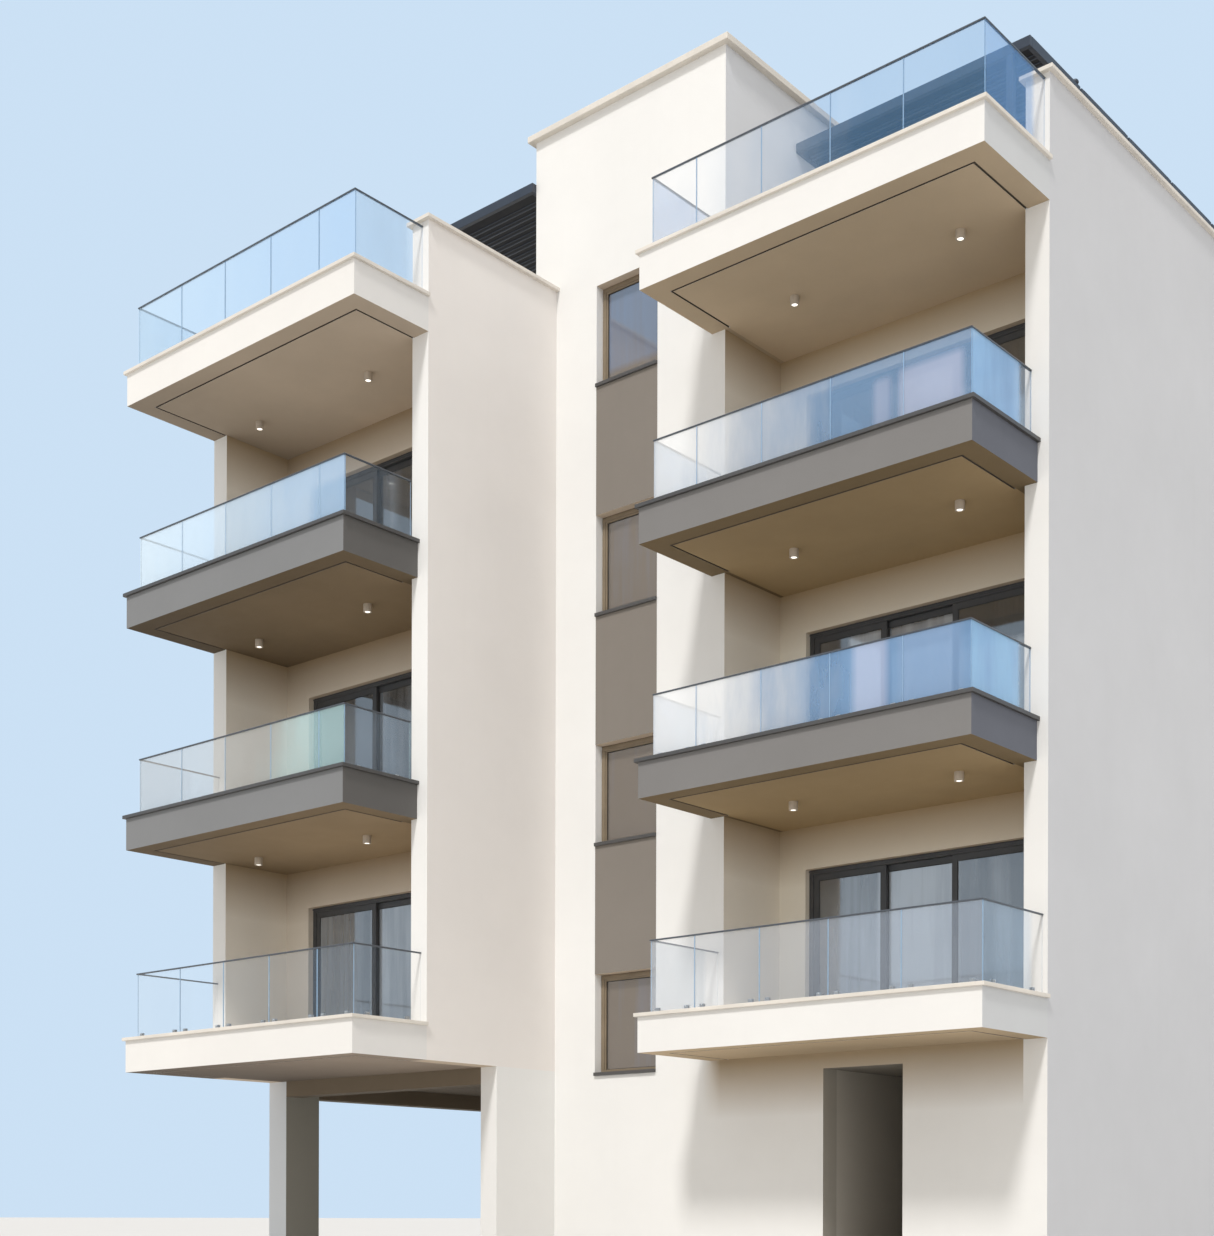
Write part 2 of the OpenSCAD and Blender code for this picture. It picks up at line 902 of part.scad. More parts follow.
module pergola_posts() {
    left = fields[0];
    color("darkslategray") {
        for (y = [left[2], left[2] + left[3] - post_w])
            post(left[0] + post_in, y);
        for (k = concat([for (k = [0:2:field_n - 1]) k], field_n)) {
            post(tower_x1 + right_pergola_w - post_in - post_w, right_post_y(k));
            if (right_post_y(k) > tower_y1)
                post(tower_x1 + post_in, right_post_y(k));
        }
    }
}

module pergola_beams() {
    color("darkslategray")
        for (f = fields, y = [f[2], f[2] + f[3] - pergola_beam_t])
            block([f[0], f[1]], [y, y + pergola_beam_t], beam_span);
}

module pergola_rails() {
    color("darkslategray")
        for (f = fields, x = [f[0], f[1] - pergola_beam_t])
            block([x, x + pergola_beam_t],
                  [f[2] + pergola_beam_t, f[2] + f[3] - pergola_beam_t], beam_span);
}

// Tilted blades that run between the side rails
module field_blades(f) {
    length = f[3] - 2 * pergola_beam_t;
    n = floor((length - louvre_w) / louvre_pitch);
    lead = (length - n * louvre_pitch) / 2;
    for (k = [0:n])
        translate([f[0] + pergola_beam_t - mid_x,
                   f[2] + pergola_beam_t + lead + k * louvre_pitch - mid_y,
                   pergola_z - pergola_beam_h / 2])
            rotate([-louvre_tilt, 0, 0])
                translate([0, -louvre_w / 2, -louvre_t / 2])
                    cube([f[1] - f[0] - 2 * pergola_beam_t, louvre_w, louvre_t]);
}

module pergola_louvres() {
    color("darkslategray")
        for (f = fields)
            field_blades(f);
}

// Round lights under the balconies

module downlights() {
    color("whitesmoke")
        for (i = [1:3], side = [-1, 1], p = [
            [wall_t + left_light_x, left_light_y],
            [tower_x1 + right_light_x, right_front_y + right_light_y]
        ])
            translate([p[0] + side * light_span / 2 - mid_x, p[1] - mid_y, floors[i] - face_h - light_h])
                cylinder(h = light_h, d = light_dia, $fn = 48);
}

ground_slab();
left_floors();
right_floors();
stair_landings();
left_side_piers();
left_wing_wall();
carport_wall();
carport_columns();
carport_beams();
tower_front_piers();
tower_spandrels();
tower_side_walls();
tower_rear_wall();
tower_roof();
loggia_side_wall();
right_wing_wall();
entrance_wall();
entrance_passage();
ground_rear_wall();
rear_piers();
window_spandrels();
loggia_piers();
door_lintels();
left_white_balconies();
left_grey_balconies();
right_white_balconies();
right_grey_balconies();
pale_copings();
dark_copings();
left_balustrade_glass();
right_balustrade_glass();
handrails();
glass_clamps();
sliding_door_frames();
sliding_door_sashes();
sliding_door_glass();
window_frames();
window_glass();
window_sills();
stair_panels();
pergola_posts();
pergola_beams();
pergola_rails();
pergola_louvres();
downlights();
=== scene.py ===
"""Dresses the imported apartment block: camera, light, materials and the small visible parts.

Lengths are in metres, with x to the right, y to the back and z up. Colours are linear.
"""
import math

import bmesh
import bpy
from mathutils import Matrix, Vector


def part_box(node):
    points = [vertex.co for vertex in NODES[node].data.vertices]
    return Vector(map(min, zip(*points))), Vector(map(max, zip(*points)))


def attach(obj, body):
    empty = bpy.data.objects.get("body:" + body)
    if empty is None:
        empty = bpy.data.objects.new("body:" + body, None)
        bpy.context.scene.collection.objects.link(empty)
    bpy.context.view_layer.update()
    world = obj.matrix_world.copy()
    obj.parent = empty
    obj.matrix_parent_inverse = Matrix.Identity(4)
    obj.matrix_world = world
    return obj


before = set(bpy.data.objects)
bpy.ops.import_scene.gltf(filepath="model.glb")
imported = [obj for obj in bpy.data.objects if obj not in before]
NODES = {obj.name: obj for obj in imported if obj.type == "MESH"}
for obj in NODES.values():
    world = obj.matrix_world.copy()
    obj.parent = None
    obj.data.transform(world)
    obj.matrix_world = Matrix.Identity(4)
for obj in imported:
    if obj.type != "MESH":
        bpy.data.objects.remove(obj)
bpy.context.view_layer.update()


# Camera, at the photograph's viewing angle

def add_camera():
    data = bpy.data.cameras.new("camera")
    data.sensor_width = 36.0
    data.lens = 52.757
    data.shift_y = 0.48493
    data.clip_start = 0.1
    data.clip_end = 2000.0
    cam = bpy.data.objects.new("camera", data)
    cam.location = (15.7875, -21.591, 0.871)
    cam.rotation_euler = (math.radians(90.0), math.radians(-0.145), math.radians(40.859))
    bpy.context.scene.collection.objects.link(cam)
    bpy.context.scene.camera = cam


# Light

SKY = (0.60, 0.75, 0.91)
SKY_LIGHT = (1.0, 0.985, 0.96)
LIGHT_STRENGTH = 0.77


def add_world():
    """Even light from all round, and a blue sky where the camera, gloss and glass see it."""
    world = bpy.data.worlds.new("studio")
    bpy.context.scene.world = world
    world.use_nodes = True
    tree = world.node_tree
    tree.nodes.clear()
    link = tree.links.new
    out = tree.nodes.new("ShaderNodeOutputWorld")
    mix = tree.nodes.new("ShaderNodeMixShader")
    link(mix.outputs[0], out.inputs["Surface"])
    path = tree.nodes.new("ShaderNodeLightPath")
    for place, colour, strength in ((1, SKY_LIGHT, LIGHT_STRENGTH), (2, SKY, 1.0)):
        background = tree.nodes.new("ShaderNodeBackground")
        background.inputs["Color"].default_value = (*colour, 1.0)
        background.inputs["Strength"].default_value = strength
        link(background.outputs[0], mix.inputs[place])
    seen = path.outputs["Is Camera Ray"]
    for ray in ("Is Glossy Ray", "Is Transmission Ray"):
        either = tree.nodes.new("ShaderNodeMath")
        either.operation = "MAXIMUM"
        link(seen, either.inputs[0])
        link(path.outputs[ray], either.inputs[1])
        seen = either.outputs[0]
    link(seen, mix.inputs["Fac"])


def add_sun(name, azimuth, elevation, energy, angle, colour):
    """A soft lamp that shines from the front; azimuth turns it towards the right."""
    data = bpy.data.lights.new(name, "SUN")
    data.energy = energy
    data.angle = math.radians(angle)
    data.color = colour
    lamp = bpy.data.objects.new(name, data)
    a, e = math.radians(azimuth), math.radians(elevation)
    way = Vector((-math.sin(a) * math.cos(e), math.cos(a) * math.cos(e), -math.sin(e)))
    lamp.rotation_euler = way.to_track_quat("-Z", "Y").to_euler()
    lamp.location = -way * 60.0
    bpy.context.scene.collection.objects.link(lamp)


# Materials

# The first floor's level, the height of a storey, and the range of heights above a floor in
# which a wall turns to its painted shade under the ceiling
FIRST_FLOOR = 3.40
STOREY = 3.15
CEILING_SHADE = (1.88, 2.66)

# Half the width of a painted zone's soft edge
SOFT_EDGE = 0.05


def shade(colour, k):
    """The colour times k, at most 1."""
    return tuple(min(c * k, 1.0) for c in colour)


class Look:
    """A new material, with short calls that add nodes and join them."""

    def __init__(self, name):
        self.mat = bpy.data.materials.new(name)
        self.mat.use_nodes = True
        self.tree = self.mat.node_tree
        self.tree.nodes.clear()
        out = self.tree.nodes.new("ShaderNodeOutputMaterial")
        self.bsdf = self.tree.nodes.new("ShaderNodeBsdfPrincipled")
        self.link(self.bsdf.outputs["BSDF"], out.inputs["Surface"])
        self.place = self.tree.nodes.new("ShaderNodeTexCoord")

    def link(self, a, b):
        self.tree.links.new(a, b)

    def set(self, name, value):
        """Joins an output to one of the shader's sockets, or sets a plain value there."""
        if isinstance(value, bpy.types.NodeSocket):
            self.link(value, self.bsdf.inputs[name])
        else:
            self.bsdf.inputs[name].default_value = value

    def feed(self, socket, value):
        """Joins an output to another node's socket, or sets a plain value or colour there."""
        if isinstance(value, bpy.types.NodeSocket):
            self.link(value, socket)
        elif isinstance(value, tuple) and len(value) == 3 and socket.type == "RGBA":
            socket.default_value = (*value, 1.0)
        else:
            socket.default_value = value

    def stretched(self, scale):
        """The object's own coordinates, scaled along each axis."""
        node = self.tree.nodes.new("ShaderNodeMapping")
        node.inputs["Scale"].default_value = scale
        self.link(self.place.outputs["Object"], node.inputs["Vector"])
        return node.outputs["Vector"]

    def noise(self, scale, detail, rough, stretch=None):
        """Noise that stays fixed to the object."""
        node = self.tree.nodes.new("ShaderNodeTexNoise")
        node.inputs["Scale"].default_value = scale
        node.inputs["Detail"].default_value = detail
        node.inputs["Roughness"].default_value = rough
        where = self.stretched(stretch) if stretch else self.place.outputs["Object"]
        self.link(where, node.inputs["Vector"])
        return node.outputs["Fac"]

    def grid(self, size, joint):
        """Joints and tones of a square grid of slabs, seen from above."""
        node = self.tree.nodes.new("ShaderNodeTexBrick")
        node.offset = 0.0
        node.squash = 1.0
        node.inputs["Scale"].default_value = 1.0
        node.inputs["Brick Width"].default_value = size
        node.inputs["Row Height"].default_value = size
        node.inputs["Mortar Size"].default_value = joint
        node.inputs["Mortar Smooth"].default_value = 0.2
        node.inputs["Color1"].default_value = (0.42, 0.42, 0.42, 1.0)
        node.inputs["Color2"].default_value = (0.58, 0.58, 0.58, 1.0)
        node.inputs["Mortar"].default_value = (0.5, 0.5, 0.5, 1.0)
        self.link(self.place.outputs["Object"], node.inputs["Vector"])
        return node.outputs["Fac"], node.outputs["Color"]

    def part(self, vector, axis):
        """One part of a vector or colour, by its name or number."""
        node = self.tree.nodes.new("ShaderNodeSeparateXYZ")
        self.link(vector, node.inputs[0])
        return node.outputs[axis]

    def at(self, axis):
        """The object's own coordinate along an axis."""
        return self.part(self.place.outputs["Object"], axis)

    def facing(self, axis):
        """How far a face looks along an axis, from -1 to 1."""
        return self.part(self.place.outputs["Normal"], axis)

    def facing_down(self):
        return self.spread(self.facing("Z"), -0.7, -0.5, 1.0, 0.0)

    def facing_up(self):
        return self.spread(self.facing("Z"), 0.5, 0.7, 0.0, 1.0)

    def maths(self, kind, a, b=0.0):
        node = self.tree.nodes.new("ShaderNodeMath")
        node.operation = kind
        self.feed(node.inputs[0], a)
        self.feed(node.inputs[1], b)
        return node.outputs[0]

    def product(self, first, *others):
        """All values multiplied, from the first on."""
        for value in others:
            first = self.maths("MULTIPLY", first, value)
        return first

    def spread(self, value, lo, hi, to_lo, to_hi):
        """The value moved from one range to another, and kept inside it."""
        node = self.tree.nodes.new("ShaderNodeMapRange")
        node.clamp = True
        self.feed(node.inputs["Value"], value)
        node.inputs["From Min"].default_value = lo
        node.inputs["From Max"].default_value = hi
        node.inputs["To Min"].default_value = to_lo
        node.inputs["To Max"].default_value = to_hi
        return node.outputs["Result"]

    def blend(self, share, a, b, kind="MIX"):
        """Colour a, turning to b with the share."""
        node = self.tree.nodes.new("ShaderNodeMix")
        node.data_type = "RGBA"
        node.blend_type = kind
        self.feed(node.inputs[0], share)
        self.feed(node.inputs[6], a)
        self.feed(node.inputs[7], b)
        return node.outputs[2]

    def times(self, colour, k):
        """A colour multiplied by a number or by another colour."""
        return self.blend(1.0, colour, k, "MULTIPLY")

    def mottle(self, value, lo, hi, colour, k0, k1):
        """The colour times k0 to k1, as the value goes from lo to hi."""
        share = self.spread(value, lo, hi, 0.0, 1.0)
        return self.blend(share, shade(colour, k0), shade(colour, k1))

    def drifted(self, colour, drifts):
        """The colour scaled from share to share by drifts (axis, from, to, share, share)."""
        for axis, lo, hi, k0, k1 in drifts:
            colour = self.times(colour, self.spread(self.at(axis), lo, hi, k0, k1))
        return colour

    def between(self, axis, lo, hi):
        """1 where the object's own coordinate lies between two values, else 0."""
        where = self.at(axis)
        above = self.maths("GREATER_THAN", where, lo)
        return self.product(above, self.maths("LESS_THAN", where, hi))

    def zone(self, share, *ranges):
        """The share inside all (axis, from, to) ranges, falling softly to 0 at their ends."""
        for axis, lo, hi in ranges:
            where = self.at(axis)
            rise = self.spread(where, lo - SOFT_EDGE, lo + SOFT_EDGE, 0.0, 1.0)
            fall = self.spread(where, hi - SOFT_EDGE, hi + SOFT_EDGE, 1.0, 0.0)
            share = self.product(rise, fall, share)
        return share

    def tint(self, colour):
        """A plain colour, or a pair that goes from a storey's lower part to painted shade under
        its ceiling.
        """
        if isinstance(colour[0], float):
            return colour
        rise = self.maths("MODULO", self.maths("SUBTRACT", self.at("Z"), FIRST_FLOOR), STOREY)
        return self.blend(self.spread(rise, *CEILING_SHADE, 0.0, 1.0), colour[0], colour[1])

    def height(self, value, depth, before=None, strength=1.0):
        """Bump of a real depth in metres on top of another one."""
        node = self.tree.nodes.new("ShaderNodeBump")
        node.inputs["Strength"].default_value = strength
        node.inputs["Distance"].default_value = depth
        self.feed(node.inputs["Height"], value)
        if before is not None:
            self.link(before, node.inputs["Normal"])
        return node.outputs["Normal"]


# Colours; a pair goes from a storey's lower part to painted shade under its ceiling
WHITE = (0.842, 0.832, 0.81)
# White in painted shade, for faces towards +x
SHADED_WHITE = (0.665, 0.675, 0.70)
# Loggia walls: a beige that is partly their paint and partly painted warm bounce light, and lit
# copies of it in painted light for the right loggia and the side walls
BEIGE = ((0.83, 0.76, 0.66), (0.33, 0.24, 0.145))
LIT_RIGHT_BEIGE = ((0.95, 0.90, 0.79), (0.42, 0.31, 0.185))
LIT_SIDE_BEIGE = ((0.93, 0.88, 0.79), (0.42, 0.315, 0.195))
SOFFIT = (0.64, 0.525, 0.405)
# Painted shade of the entrance passage's soffit
PASSAGE_SHADE = (0.22, 0.20, 0.17)
SHADY = (0.175, 0.145, 0.11)
# Painted shade on the walls just under the first balconies
UNDER_BALCONY_SHADE = (0.40, 0.31, 0.20)
TILE = (0.60, 0.575, 0.53)
DIRT = (0.80, 0.785, 0.76)
DUST = 0.32
# Painted reflection of something pale in the glass
GLINT = (0.60, 0.68, 0.90)

# Ranges of x or z in which a colour holds
EVERYWHERE = (-20.0, 20.0)
STOREYS = (2.95, 12.84)
ABOVE_STOREYS = (12.84, 20.0)
TOWER_RIGHT = (1.0, 2.0)
LOWEST_SOFFITS = (-1.0, 3.2)

# Height between the lower and the upper grey balconies' soffits
UPPER_SOFFITS = 8.0

# Depth over which a soffit's field goes from its front tone to its back tone, in painted light
# and shade
FIELD_DEPTH = 1.4

# Painted shade: the walls under the first balconies turn to brown up to their soffit, as
# (x range, z range, soffit's height, colour)
SHADE_UNDER_BALCONIES = ((1.25, 1.55), (2.15, 2.88), 2.92, UNDER_BALCONY_SHADE)

# Painted shade: the left soffits darken towards the left
LEFT_SHADE_DRIFT = [("X", -5.9, -3.9, 0.62, 1.0)]

# Side of the terraces' slabs, and the joint between them
SLAB, SLAB_JOINT = 0.6, 0.004

# Lowest z of the balustrades' panes on each storey, with room below
GLASS_LEVELS = (0.0, 5.0, 8.2, 12.6)


def turned(way, colour, xs=EVERYWHERE, zs=EVERYWHERE):
    """A side of a render look: faces towards +x for way 1 and -x for -1, or all for 0."""
    return way, colour, xs, zs


def wall_colour(m, wall, sides, under):
    """The walls' colour, with sides and the walls under the balconies in painted light and shade.
    """
    colour = m.tint(wall)
    # Painted shade on the walls just under the balconies
    if under:
        xs, zs, top, brown = under
        z = m.at("Z")
        share = m.product(m.spread(z, *zs, 0.0, 1.0), m.maths("LESS_THAN", z, top),
                          m.spread(m.at("X"), *xs, 0.0, 1.0))
        colour = m.blend(share, colour, brown)
    for way, other, xs, zs in sides:
        spot = m.product(m.between("X", *xs), m.between("Z", *zs))
        if way:
            x = m.product(m.facing("X"), float(way))
            spot = m.product(m.spread(x, 0.5, 0.7, 0.0, 1.0), spot)
        colour = m.blend(spot, colour, m.tint(other))
    return colour


def field_share(m, x0, x1, y0, border, front, back, lower=1.0, upper=1.0):
    """Shares of a soffit's colour inside and outside the drip groove: painted light and shade, the
    darker border partly a second paint.

    x0, x1 and y0 bound the field inside the groove, border is the share outside it, front and
    back are those at the field's front and back, and lower and upper those of the storeys.
    """
    y = m.at("Y")
    inside = m.product(m.between("X", x0, x1), m.maths("GREATER_THAN", y, y0))
    k = m.maths("SUBTRACT", m.spread(y, y0, y0 + FIELD_DEPTH, front, back), border)
    k = m.maths("ADD", m.product(inside, k), border)
    high = m.maths("GREATER_THAN", m.at("Z"), UPPER_SOFFITS)
    return m.product(k, m.maths("ADD", m.product(high, upper - lower), lower))


def soffit_colour(m, cloud, patch, soffit, field, drift, low):
    """Smooth paint with faint clouds, and painted light and shade in the shares that field, drift
    and low give.
    """
    paint = m.mottle(cloud, 0.3, 0.7, soffit, 0.93, 1.05)
    paint = m.blend(m.spread(patch, 0.4, 0.8, 0.0, 0.25), paint, shade(soffit, 0.88))
    if field:
        paint = m.times(paint, field_share(m, **field))
    paint = m.drifted(paint, drift)
    if low:
        # The lowest soffits in painted shade, with painted light drifting across them
        below = m.drifted(m.mottle(cloud, 0.3, 0.7, low[0], 0.93, 1.07), low[1:])
        paint = m.blend(m.between("Z", *LOWEST_SOFFITS), paint, below)
    return paint


def render_look(name, wall, soffit, streaks=0.05, splash=True, sides=(), under=None,
                field=None, drift=(), low=None):
    """Fine mineral render on walls, smooth paint on soffits and stone slabs on top.

    sides are faces in another colour, such as a loggia's inner walls, each from turned(), carrying
    painted light and shade. under is for walls below the first balconies, like
    SHADE_UNDER_BALCONIES, which it turns to painted shade. field holds the values of
    field_share(). low is the colour of the lowest soffits, in painted shade, followed by its
    drifts, and drift those of the others: a drift (axis, from, to, share, share) scales the paint
    as painted light and shade.
    """
    m = Look(name)
    cloud = m.noise(0.45, 4.0, 0.55)
    patch = m.noise(2.6, 3.0, 0.6)
    grain = m.noise(210.0, 2.0, 0.6)
    trowel = m.noise(7.0, 3.0, 0.55, (1.0, 1.0, 1.6))
    run = m.noise(1.0, 4.0, 0.6, (5.0, 5.0, 0.22))
    tone = m.product(m.spread(cloud, 0.35, 0.65, 0.97, 1.01),
                     m.spread(patch, 0.3, 0.7, 1.0, 0.99),
                     m.spread(grain, 0.35, 0.65, 1.0, 0.98))
    colour = m.times(wall_colour(m, wall, sides, under), tone)
    dirt = m.times(colour, DIRT)
    colour = m.blend(m.spread(run, 0.56, 0.78, 0.0, streaks), colour, dirt)
    if splash:
        z = m.at("Z")
        wet = m.spread(m.maths("ADD", z, m.product(patch, 0.25)), 0.1, 0.75, 0.16, 0.0)
        colour = m.blend(wet, colour, dirt)
        # Darker towards the bottom, up to 4.5 m above the ground
        colour = m.blend(m.spread(z, 0.0, 4.5, 0.22, 0.0), colour, dirt)
    joint, slab_tone = m.grid(SLAB, SLAB_JOINT)
    slab = m.mottle(m.part(slab_tone, 0), 0.42, 0.58, TILE, 0.94, 1.04)
    slab = m.blend(m.spread(patch, 0.3, 0.7, 0.0, 0.3), slab, shade(TILE, 0.9))
    slab = m.blend(m.product(joint, 0.7), slab, shade(TILE, 0.5))
    up = m.facing_up()
    paint = soffit_colour(m, cloud, patch, soffit, field, drift, low)
    colour = m.blend(m.facing_down(), colour, paint)
    m.set("Base Color", m.blend(up, colour, slab))
    m.set("Roughness", m.spread(patch, 0.3, 0.7, 0.82, 0.93))
    m.set("Specular IOR Level", 0.25)
    side = m.maths("SUBTRACT", 1.0, up)
    bump = m.height(m.product(grain, side), 0.0012)
    bump = m.height(m.product(trowel, side), 0.0025, bump, 0.6)
    m.set("Normal", m.height(m.product(joint, up, -1.0), 0.003, bump))
    return m.mat


def stone_look(name, colour, vein, rough):
    """Honed limestone or slate with fine grain, faint veins and weathered top faces."""
    m = Look(name)
    cloud = m.noise(1.7, 5.0, 0.6)
    fine = m.noise(95.0, 3.0, 0.6)
    line = m.noise(3.2, 6.0, 0.7, (1.0, 1.0, 2.5))
    base = m.mottle(cloud, 0.35, 0.65, colour, 0.92, 1.06)
    base = m.blend(m.spread(fine, 0.3, 0.7, 0.0, 0.22), base, shade(colour, 0.8))
    base = m.blend(m.spread(line, 0.60, 0.66, 0.0, 0.22), base, vein)
    base = m.blend(m.product(m.facing_up(), 0.18), base, shade(colour, 0.82))
    m.set("Base Color", base)
    m.set("Roughness", m.spread(cloud, 0.3, 0.7, rough - 0.08, rough + 0.08))
    m.set("Normal", m.height(line, 0.001, m.height(fine, 0.0006), 0.5))
    return m.mat


def metal_look(name, colour, rough):
    """Powder-coated aluminium: a fine orange peel, dust on top and slight variation."""
    m = Look(name)
    peel = m.noise(420.0, 2.0, 0.5)
    dust = m.noise(3.5, 4.0, 0.6)
    base = m.mottle(dust, 0.35, 0.7, colour, 0.92, 1.12)
    dusty = tuple(0.55 * c + 0.45 * DUST for c in colour)
    up = m.product(m.facing_up(), m.spread(dust, 0.3, 0.7, 0.08, 0.3))
    m.set("Base Color", m.blend(up, base, dusty))
    m.set("Roughness", m.spread(dust, 0.3, 0.7, rough - 0.06, rough + 0.08))
    m.set("Normal", m.height(peel, 0.0004))
    return m.mat


def balustrade_look(name, storeys, wall, glints=()):
    """Clear laminated glass under a painted reflection of the sky.

    storeys go from the first floor to the roof, each (density, left tone, right tone, x range
    from the one to the other, density of the end panes, their tone) of the painted reflection.
    wall is the y range in which the end panes turn clear towards the wing wall, and glints
    are (share, (axis, from, to), ...) zones with a painted reflection of something pale.
    """
    m = Look(name)
    cloud = m.noise(0.55, 3.0, 0.5, (1.0, 1.0, 0.55))
    streak = m.noise(1.6, 4.0, 0.6, (1.6, 1.6, 0.4))
    z = m.at("Z")
    x = m.maths("ADD", m.at("X"), m.spread(streak, 0.35, 0.65, -0.25, 0.25))
    side = m.spread(m.maths("ABSOLUTE", m.facing("X")), 0.4, 0.6, 0.0, 1.0)
    clear = m.product(side, m.spread(m.at("Y"), *wall, 0.0, 0.85))
    # The tone and the cover of the painted reflection, storey by storey
    tone, reflection_cover = None, None
    for level, (dense, left, right, xs, end_dense, end) in zip(GLASS_LEVELS, storeys):
        front = m.blend(m.spread(x, *xs, 0.0, 1.0), left, right)
        here = m.blend(side, front, m.mottle(streak, 0.35, 0.65, end, 0.88, 1.08))
        thick = m.maths("ADD", dense, m.product(side, end_dense - dense))
        if tone is None:
            tone, reflection_cover = here, thick
            continue
        above = m.maths("GREATER_THAN", z, level)
        tone = m.blend(above, tone, here)
        reflection_cover = m.maths("ADD", reflection_cover, m.product(above, m.maths("SUBTRACT", thick, reflection_cover)))
    reflection_cover = m.product(reflection_cover, m.maths("SUBTRACT", 1.0, clear))
    # Painted reflections of pale things
    for glint in glints:
        tone = m.blend(m.zone(*glint), tone, GLINT)
    m.set("Base Color", tone)
    m.set("Alpha", m.product(reflection_cover, m.spread(cloud, 0.35, 0.65, 0.88, 1.12)))
    m.set("Roughness", 0.04)
    m.set("IOR", 1.6)
    m.set("Normal", m.height(m.noise(1.1, 2.0, 0.5), 0.001, None, 0.1))
    return m.mat


def pane_look(name, dark, light, alpha, ior, bright):
    """Coated double glazing, its colour a dim room in painted shade and a painted reflection of
    the sky.

    bright are (share, (axis, from, to), ...) zones in which more of the light tone, the painted
    reflection, shows, or less of it for a share below 0.
    """
    m = Look(name)
    cloud = m.noise(0.6, 3.0, 0.5, (1.0, 1.0, 0.7))
    streak = m.noise(1.3, 4.0, 0.6, (3.2, 3.2, 0.2))
    haze = m.noise(4.0, 2.0, 0.5)
    share = m.spread(cloud, 0.35, 0.65, 0.0, 0.3)
    share = m.maths("ADD", share, m.spread(streak, 0.38, 0.62, 0.0, 0.3))
    for spot in bright:
        share = m.maths("ADD", share, m.zone(*spot))
    m.set("Base Color", m.blend(m.spread(share, 0.0, 1.0, 0.0, 1.0), dark, light))
    m.set("Alpha", alpha)
    m.set("Roughness", m.spread(haze, 0.3, 0.7, 0.03, 0.07))
    m.set("IOR", ior)
    m.set("Normal", m.height(m.noise(0.9, 2.0, 0.5), 0.004, None, 0.25))
    return m.mat


def plain_look(name, colour, rough, fine=260.0, depth=0.0004, spread=0.06, metallic=0.0):
    """Rubber, steel or plastic with a fine grain and slight variation."""
    m = Look(name)
    grain = m.noise(fine, 2.0, 0.5)
    cloud = m.noise(9.0, 3.0, 0.6)
    m.set("Base Color", m.mottle(cloud, 0.3, 0.7, colour, 1.0 - spread, 1.0 + spread))
    m.set("Roughness", m.spread(grain, 0.3, 0.7, rough - 0.05, rough + 0.05))
    m.set("Metallic", metallic)
    m.set("Normal", m.height(grain, depth))
    return m.mat


def lens_look(name):
    """Opal lens of a lit lamp."""
    m = Look(name)
    spot = m.spread(m.noise(60.0, 2.0, 0.5), 0.3, 0.7, 0.0, 1.0)
    tone = m.blend(spot, (1.0, 0.95, 0.84), (1.0, 0.98, 0.92))
    m.set("Base Color", tone)
    m.set("Emission Color", tone)
    m.set("Emission Strength", 1.6)
    m.set("Roughness", 0.35)
    return m.mat


def cloth_look(name, colour):
    """Sheer woven curtain with a crossed weave and soft sheen."""
    m = Look(name)
    warp = m.noise(240.0, 2.0, 0.5, (3.0, 3.0, 0.25))
    weft = m.noise(240.0, 2.0, 0.5, (0.25, 0.25, 3.0))
    weave = m.maths("ADD", warp, weft)
    # Painted shade in the folds, as soft upright streaks
    fold_shade = m.noise(3.0, 2.0, 0.5, (2.0, 2.0, 0.2))
    tone = m.mottle(weave, 0.8, 1.2, colour, 0.9, 1.05)
    m.set("Base Color", m.blend(m.spread(fold_shade, 0.4, 0.7, 0.0, 0.25), tone, shade(colour, 0.82)))
    m.set("Roughness", m.spread(weave, 0.8, 1.2, 0.86, 0.95))
    m.set("Sheen Weight", 0.3)
    m.set("Normal", m.height(weave, 0.0005))
    return m.mat


# Render on the walls, in the order of the wings from left to right
white = render_look("white_render", WHITE, SOFFIT)
# The left piers' faces towards the loggias in the lit beige, painted light with painted shade
# under each ceiling
left_end = render_look("left_end_render", WHITE, SOFFIT, sides=[turned(1, LIT_SIDE_BEIGE, zs=STOREYS)])
# The wing wall's face to the loggia in beige with painted ceiling shade, and its face towards +x
# warmer, painted bounce light
wing_white = render_look("wing_render", (0.88, 0.87, 0.85), SOFFIT,
                         sides=[turned(-1, BEIGE, zs=STOREYS), turned(1, (0.86, 0.815, 0.775))])
# The tower in painted light and shade: lit beige in the loggias, shaded white above them, a
# whitened stair reveal, and shade under the first balcony
tower_white = render_look("tower_render", WHITE, SOFFIT, under=SHADE_UNDER_BALCONIES,
                          sides=[turned(1, LIT_SIDE_BEIGE, TOWER_RIGHT, STOREYS),
                                 turned(1, SHADED_WHITE, TOWER_RIGHT, ABOVE_STOREYS),
                                 turned(1, (0.95, 0.935, 0.91), (-1.0, 0.0))])
# The tower's side walls in the white of painted shade
tower_side = render_look("tower_side_render", SHADED_WHITE, SOFFIT)
# The entrance wall with painted shade under the balcony, on its soffit and on its faces towards +x
# between x 2.5 and 4
entrance_white = render_look("entrance_render", WHITE, PASSAGE_SHADE, under=SHADE_UNDER_BALCONIES,
                             sides=[turned(1, (0.37, 0.345, 0.30), (2.5, 4.0), (-1.0, 2.9))])
# The entrance passage darkened to painted shade
passage = render_look("passage_render", (0.46, 0.43, 0.38), PASSAGE_SHADE, streaks=0.02, splash=False)
# The right wall's face to the loggia in beige with painted ceiling shade, and its face towards +x
# darker and cooler, painted shade
right_white = render_look("right_end_render", WHITE, SOFFIT,
                          sides=[turned(-1, BEIGE, zs=STOREYS), turned(1, (0.61, 0.615, 0.635))])
